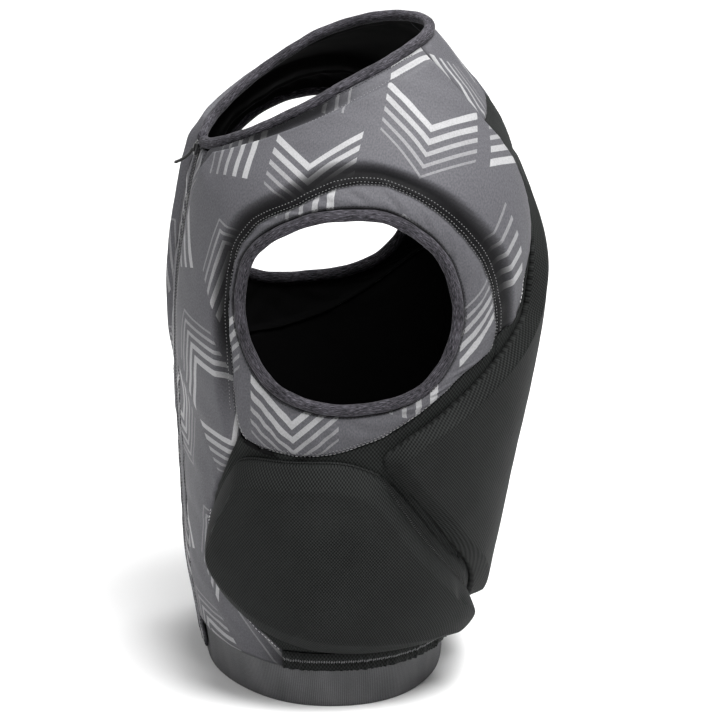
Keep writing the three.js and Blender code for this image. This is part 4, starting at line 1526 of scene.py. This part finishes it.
@dataclass
class Zip:
    """The coil, the slider and its cord pull."""

    form: Form
    tooth_pitch: float = 0.0024
    tooth: tuple[float, float, float] = (0.0025, 0.0013, 0.0017)
    tooth_aside: float = 0.36
    tooth_lift: float = 0.0015
    edge_round: float = 0.0003
    slider: tuple[float, float, float] = (0.008, 0.011, 0.0024)
    slider_lift: float = 0.0041
    slider_taper: float = 0.62
    pull_lift: float = 0.0026
    clearance: float = 0.0003
    pull_diameter: float = 0.0024
    pull_length: float = 0.020

    def frame(self, rise: float, lift: float) -> Matrix:
        """A frame on the centre front: X across, Y up the form and Z outwards."""
        at = Vector(self.form.point(np.array([[0.0, rise]]), lift)[0])
        low, high = self.form.surface(np.array([[0.0, rise - 1], [0.0, rise + 1]]))
        up = Vector(high - low).normalized()
        across = Vector((1, 0, 0))
        made = Matrix((across, up, across.cross(up))).transposed().to_4x4()
        made.translation = at
        return made

    def coil(self, top: float) -> bpy.types.Object:
        """Makes the rows of teeth."""
        rises = np.linspace(PLACKET_BOTTOM, top, 300)
        line = self.form.surface(np.stack([np.zeros(300), rises], axis=1))
        run = way_along(line)
        block = bpy.data.meshes.new("tooth")
        small = bmesh.new()
        bmesh.ops.create_cube(small, size=1.0)
        bmesh.ops.scale(small, vec=self.tooth, verts=small.verts)
        bmesh.ops.bevel(
            small, geom=small.edges[:], offset=self.edge_round, affect="EDGES", segments=1,
            profile=0.5, material=-1)
        small.to_mesh(block)
        small.free()
        bm = bmesh.new()
        for index, at in enumerate(np.arange(self.tooth_pitch / 2, run[-1] - 0.001, self.tooth_pitch / 2)):
            rise = float(np.interp(at, run, rises))
            aside = (-1) ** index * self.tooth[0] * self.tooth_aside
            put_copy(bm, block, self.frame(rise, self.tooth_lift) @ Matrix.Translation((aside, 0, 0)))
        bpy.data.meshes.remove(block)
        return settle("zip_teeth", bm, Finish.COIL, ["zip_teeth"])

    def slide(self) -> bpy.types.Object:
        """Makes the slider: a rounded plate with a bridge on it."""
        width, length, depth = self.slider
        bm = bmesh.new()
        bmesh.ops.create_cube(bm, size=1.0)
        bmesh.ops.scale(bm, vec=self.slider, verts=bm.verts)
        for vert in bm.verts:
            if vert.co.y < 0:
                vert.co.x *= self.slider_taper
        upright = [e for e in bm.edges if abs((e.verts[0].co - e.verts[1].co).z) > depth * 0.9]
        bmesh.ops.bevel(
            bm, geom=upright, offset=width * 0.3, affect="EDGES", segments=5, profile=0.5, material=-1)
        bmesh.ops.bevel(
            bm, geom=bm.edges[:], offset=self.edge_round, affect="EDGES", segments=2, profile=0.5, material=-1)
        count = len(bm.verts)
        bmesh.ops.create_cube(bm, size=1.0, matrix=Matrix.Translation((0, length * 0.05, depth * 0.75))
                              @ Matrix.Diagonal((width * 0.32, length * 0.6, depth * 0.7, 1)))
        bm.verts.ensure_lookup_table()
        bridge = [edge for edge in bm.edges
                  if min(v.index for v in edge.verts) >= count or edge.verts[0].co.z > depth * 0.6]
        bmesh.ops.bevel(bm, geom=bridge, offset=0.0005, affect="EDGES", segments=3, profile=0.5, material=-1)
        place = self.frame(SLIDER_LEVEL, self.slider_lift) @ Matrix.Translation((0, length / 2, 0))
        bmesh.ops.transform(bm, matrix=place, verts=bm.verts)
        return settle("zip_slider", bm, Finish.PAINTED, ["zip_slider"])

    def pull(self) -> bpy.types.Object:
        """Makes the short cord pull, with its cut end."""
        depth = self.slider[2]
        start = depth + self.clearance + self.pull_diameter / 2
        fall = self.pull_length * 0.72
        a = Vector((0, self.slider[1] * 0.5, start))
        b = Vector((0, -fall * 0.2, start + 0.001))
        c = Vector((0, self.slider[1] * 0.5 - fall, start + self.pull_length * 0.55))
        frame = self.frame(SLIDER_LEVEL, self.pull_lift + self.clearance)
        path = [frame @ (a * (1 - t) ** 2 + b * 2 * t * (1 - t) + c * t * t) for t in np.linspace(0, 1, 26)]
        centre = np.array(path)
        along = unit(np.gradient(centre, axis=0))
        across = np.tile([1.0, 0, 0], (len(centre), 1))
        out = unit(np.cross(across, along))
        run = np.linspace(0, 1, len(centre))
        radius = self.pull_diameter / 2 * (1 + 0.06 * np.cos(run * 90))
        radius = radius * np.where((run < 0.01) | (run > 0.99), 0.05, 1)
        angle = np.linspace(0, 2 * np.pi, 15)
        ring = across[:, None] * np.cos(angle)[None, :, None] + out[:, None] * np.sin(angle)[None, :, None]
        bm = grid_on(centre[:, None] + ring * radius[:, None, None], ring, None, 1e-6)
        bmesh.ops.holes_fill(bm, edges=[e for e in bm.edges if e.is_boundary], sides=0)
        return settle("zip_pull", bm, Finish.CORD, ["zip_pull"])

    def build(self, top: float) -> None:
        """Builds the zip.

        Args:
            top: The rise at which the coil ends.
        """
        self.coil(top)
        self.slide()
        self.pull()
        LOG.info("zip: coil, slider and pull")


@dataclass
class Bindings:
    """The bindings of the neck and the armholes."""

    form: Form
    made: dict[str, Binding] = field(default_factory=dict)

    def build(self) -> None:
        """Builds the three bindings."""
        for side, hand in HANDS:
            self.made[f"armhole_{hand}"] = Binding(
                f"armhole_binding_{hand}", seam(ARMHOLE, 260, closed=True)[:-1], side)
        self.made["neck"] = Binding("neck_binding", level(3, 357, NECK, 320), joined=False)
        for binding in self.made.values():
            binding.build(self.form)
        LOG.info("bindings: %d", len(self.made))


@dataclass
class Seams:
    """Every visible row of stitches.

    A row names its panel, its distance from the panel's edge in metres, whether that edge is
    the far one, and the shares of the edge to begin and to stop at.
    """

    shell: Shell
    waist: Waist
    pads: dict[str, RibPad]
    lip_ring: int = 5
    white_rows: tuple = (
        ("front_panel", 0.0022, True, 0.925, 0.995), ("front_panel", 0.0055, True, 0.925, 0.995),
        ("armhole_band", 0.0012, True, 0.58, 0.9), ("front_panel", 0.0022, False, 0.03, 0.3))
    grey_rows: tuple = (
        ("front_panel", 0.0018, False, 0.44, 1.0), ("front_panel", 0.0062, False, 0.44, 1.0),
        ("armhole_band", 0.0022, True, 0.0, 0.57), ("armhole_band", 0.0048, True, 0.57, 0.92),
        ("armhole_band", 0.0034, True, 0.57, 0.92), ("armhole_band", 0.0022, True, 0.91, 1.0))
    neck_row_gap: float = 0.0012
    dark_rows: tuple = (
        ("armhole_band", 0.0030, False, 0.0, 1.0), ("front_panel", 0.0030, True, 0.66, 0.88),
        ("front_panel", 0.0015, True, 0.0, 0.6), ("zip_placket", 0.0018, True, 0.0, 1.0),
        ("zip_placket", 0.0018, False, 0.0, 1.0))
    hem_distances: tuple[float, float] = (0.0068, 0.0082)

    def sew(self, thread: Stitches, hand: str, rows: tuple) -> None:
        """Builds one thread's rows on the panels of a hand.

        Args:
            thread: The thread.
            hand: left or right.
            rows: The rows.
        """
        for name, distance, from_far, start, stop in rows:
            thread.add(self.shell.panels[f"{name}_{hand}"].line(distance, from_far, start, stop))
        thread.build()

    def build(self) -> None:
        """Builds the rows, by the colour of their thread."""
        for _, hand in HANDS:
            white = Stitches(f"white_seams_{hand}", Finish.WHITE_THREAD, "print")
            self.sew(white, hand, self.white_rows)
            grey = Stitches(f"grey_seams_{hand}", Finish.GREY_THREAD, "print", 0.0013, 0.0027, 0.0006)
            neck_row = ("front_panel", self.shell.neck_strip + self.neck_row_gap, True, 0.645, 0.9)
            self.sew(grey, hand, self.grey_rows + (neck_row,))
            dark = Stitches(f"dark_seams_{hand}", Finish.BLACK_THREAD, "print", 0.0021, 0.0028)
            self.sew(dark, hand, self.dark_rows)
            loops = Stitches(
                f"pad_seam_{hand}", Finish.DIM_THREAD, "pad_mesh", 0.0028, 0.0019, 0.0005, slant=1.1)
            loops.add(self.pads[hand].rim(self.lip_ring, 0.0, 1.0))
            loops.build()
        hem = Stitches("hem_seam", Finish.GREY_THREAD, "black_mesh", 0.0026, 0.0019, 0.00045, slant=0.9)
        for distance in self.hem_distances:
            hem.add(self.waist.panels["gathered_hem"].line(distance))
        hem.build()
        LOG.info("seams: stitched")


@dataclass
class Studio:
    """The plain floor, the soft light and the camera."""

    azimuth: float = 84.0
    elevation: float = 18.5
    distance: float = 8.0
    lens: float = 530.0
    target: tuple[float, float, float] = (0.0082, 0.0181, -0.2086)
    floor_level: float = -0.4405
    floor_size: float = 12
    daylight: float = 0.25

    def aim(self, azimuth: float, elevation: float) -> Vector:
        """The way from the object to a point of view."""
        a, e = math.radians(azimuth), math.radians(elevation)
        return Vector((math.sin(a) * math.cos(e), -math.cos(a) * math.cos(e), math.sin(e)))

    def camera(self) -> None:
        """Makes the camera."""
        data = bpy.data.cameras.new("camera")
        data.lens, data.sensor_width, data.clip_end = self.lens, 36, 100
        camera = bpy.data.objects.new("camera", data)
        back = self.aim(self.azimuth, self.elevation)
        camera.location = Vector(self.target) + back * self.distance
        camera.rotation_euler = (-back).to_track_quat("-Z", "Y").to_euler()
        bpy.context.scene.collection.objects.link(camera)
        bpy.context.scene.camera = camera

    def lamp(self, name: str, azimuth: float, elevation: float, distance: float, size: float,
             power: float) -> None:
        """Makes a soft lamp that faces the vest."""
        data = bpy.data.lights.new(name, "AREA")
        data.size, data.energy = size, power
        light = bpy.data.objects.new(name, data)
        way = self.aim(azimuth, elevation)
        light.location = Vector(self.target) + way * distance
        light.rotation_euler = (-way).to_track_quat("-Z", "Y").to_euler()
        bpy.context.scene.collection.objects.link(light)

    def build(self) -> None:
        """Makes the camera, the floor, the surroundings and the lamps."""
        self.camera()
        bm = bmesh.new()
        bmesh.ops.create_grid(bm, x_segments=1, y_segments=1, size=self.floor_size)
        bmesh.ops.translate(bm, vec=(0, 0, self.floor_level), verts=bm.verts)
        mesh = bpy.data.meshes.new("floor")
        bm.to_mesh(mesh)
        bm.free()
        mesh.materials.append(PlainFinish("floor", (0.93, 0.93, 0.93), 0.9, 3, 0.01, 0, 0.1).make())
        floor = bpy.data.objects.new("floor", mesh)
        bpy.context.scene.collection.objects.link(floor)
        world = bpy.data.worlds.new("studio")
        world.use_nodes = True
        world.node_tree.nodes["Background"].inputs["Color"].default_value = (1, 1, 1, 1)
        world.node_tree.nodes["Background"].inputs["Strength"].default_value = self.daylight
        bpy.context.scene.world = world
        for lamp in LAMPS:
            self.lamp(*lamp)
        bpy.context.scene.view_settings.view_transform = "Standard"


def main() -> None:
    """Builds the vest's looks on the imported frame."""
    logging.basicConfig(level=logging.INFO, format="%(name)s %(message)s")
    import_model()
    Studio().build()
    form = Form()
    shell = Shell(form)
    shell.build()
    waist = Waist(form)
    waist.build()
    Bindings(form).build()
    pads = {}
    for side, hand in HANDS:
        pads[hand] = RibPad(f"rib_pad_{hand}", PAD_BASE, RIB_PAD_HEIGHT, PAD_RIM, side)
        pads[hand].build(form)
    BackPad("back_pad", PAD_BASE, BACK_PAD_HEIGHT, PAD_RIM).build(form)
    LOG.info("pads: ribs and back")
    Zip(form).build(shell.zip_top)
    Seams(shell, waist, pads).build()


if __name__ == "__main__":
    main()
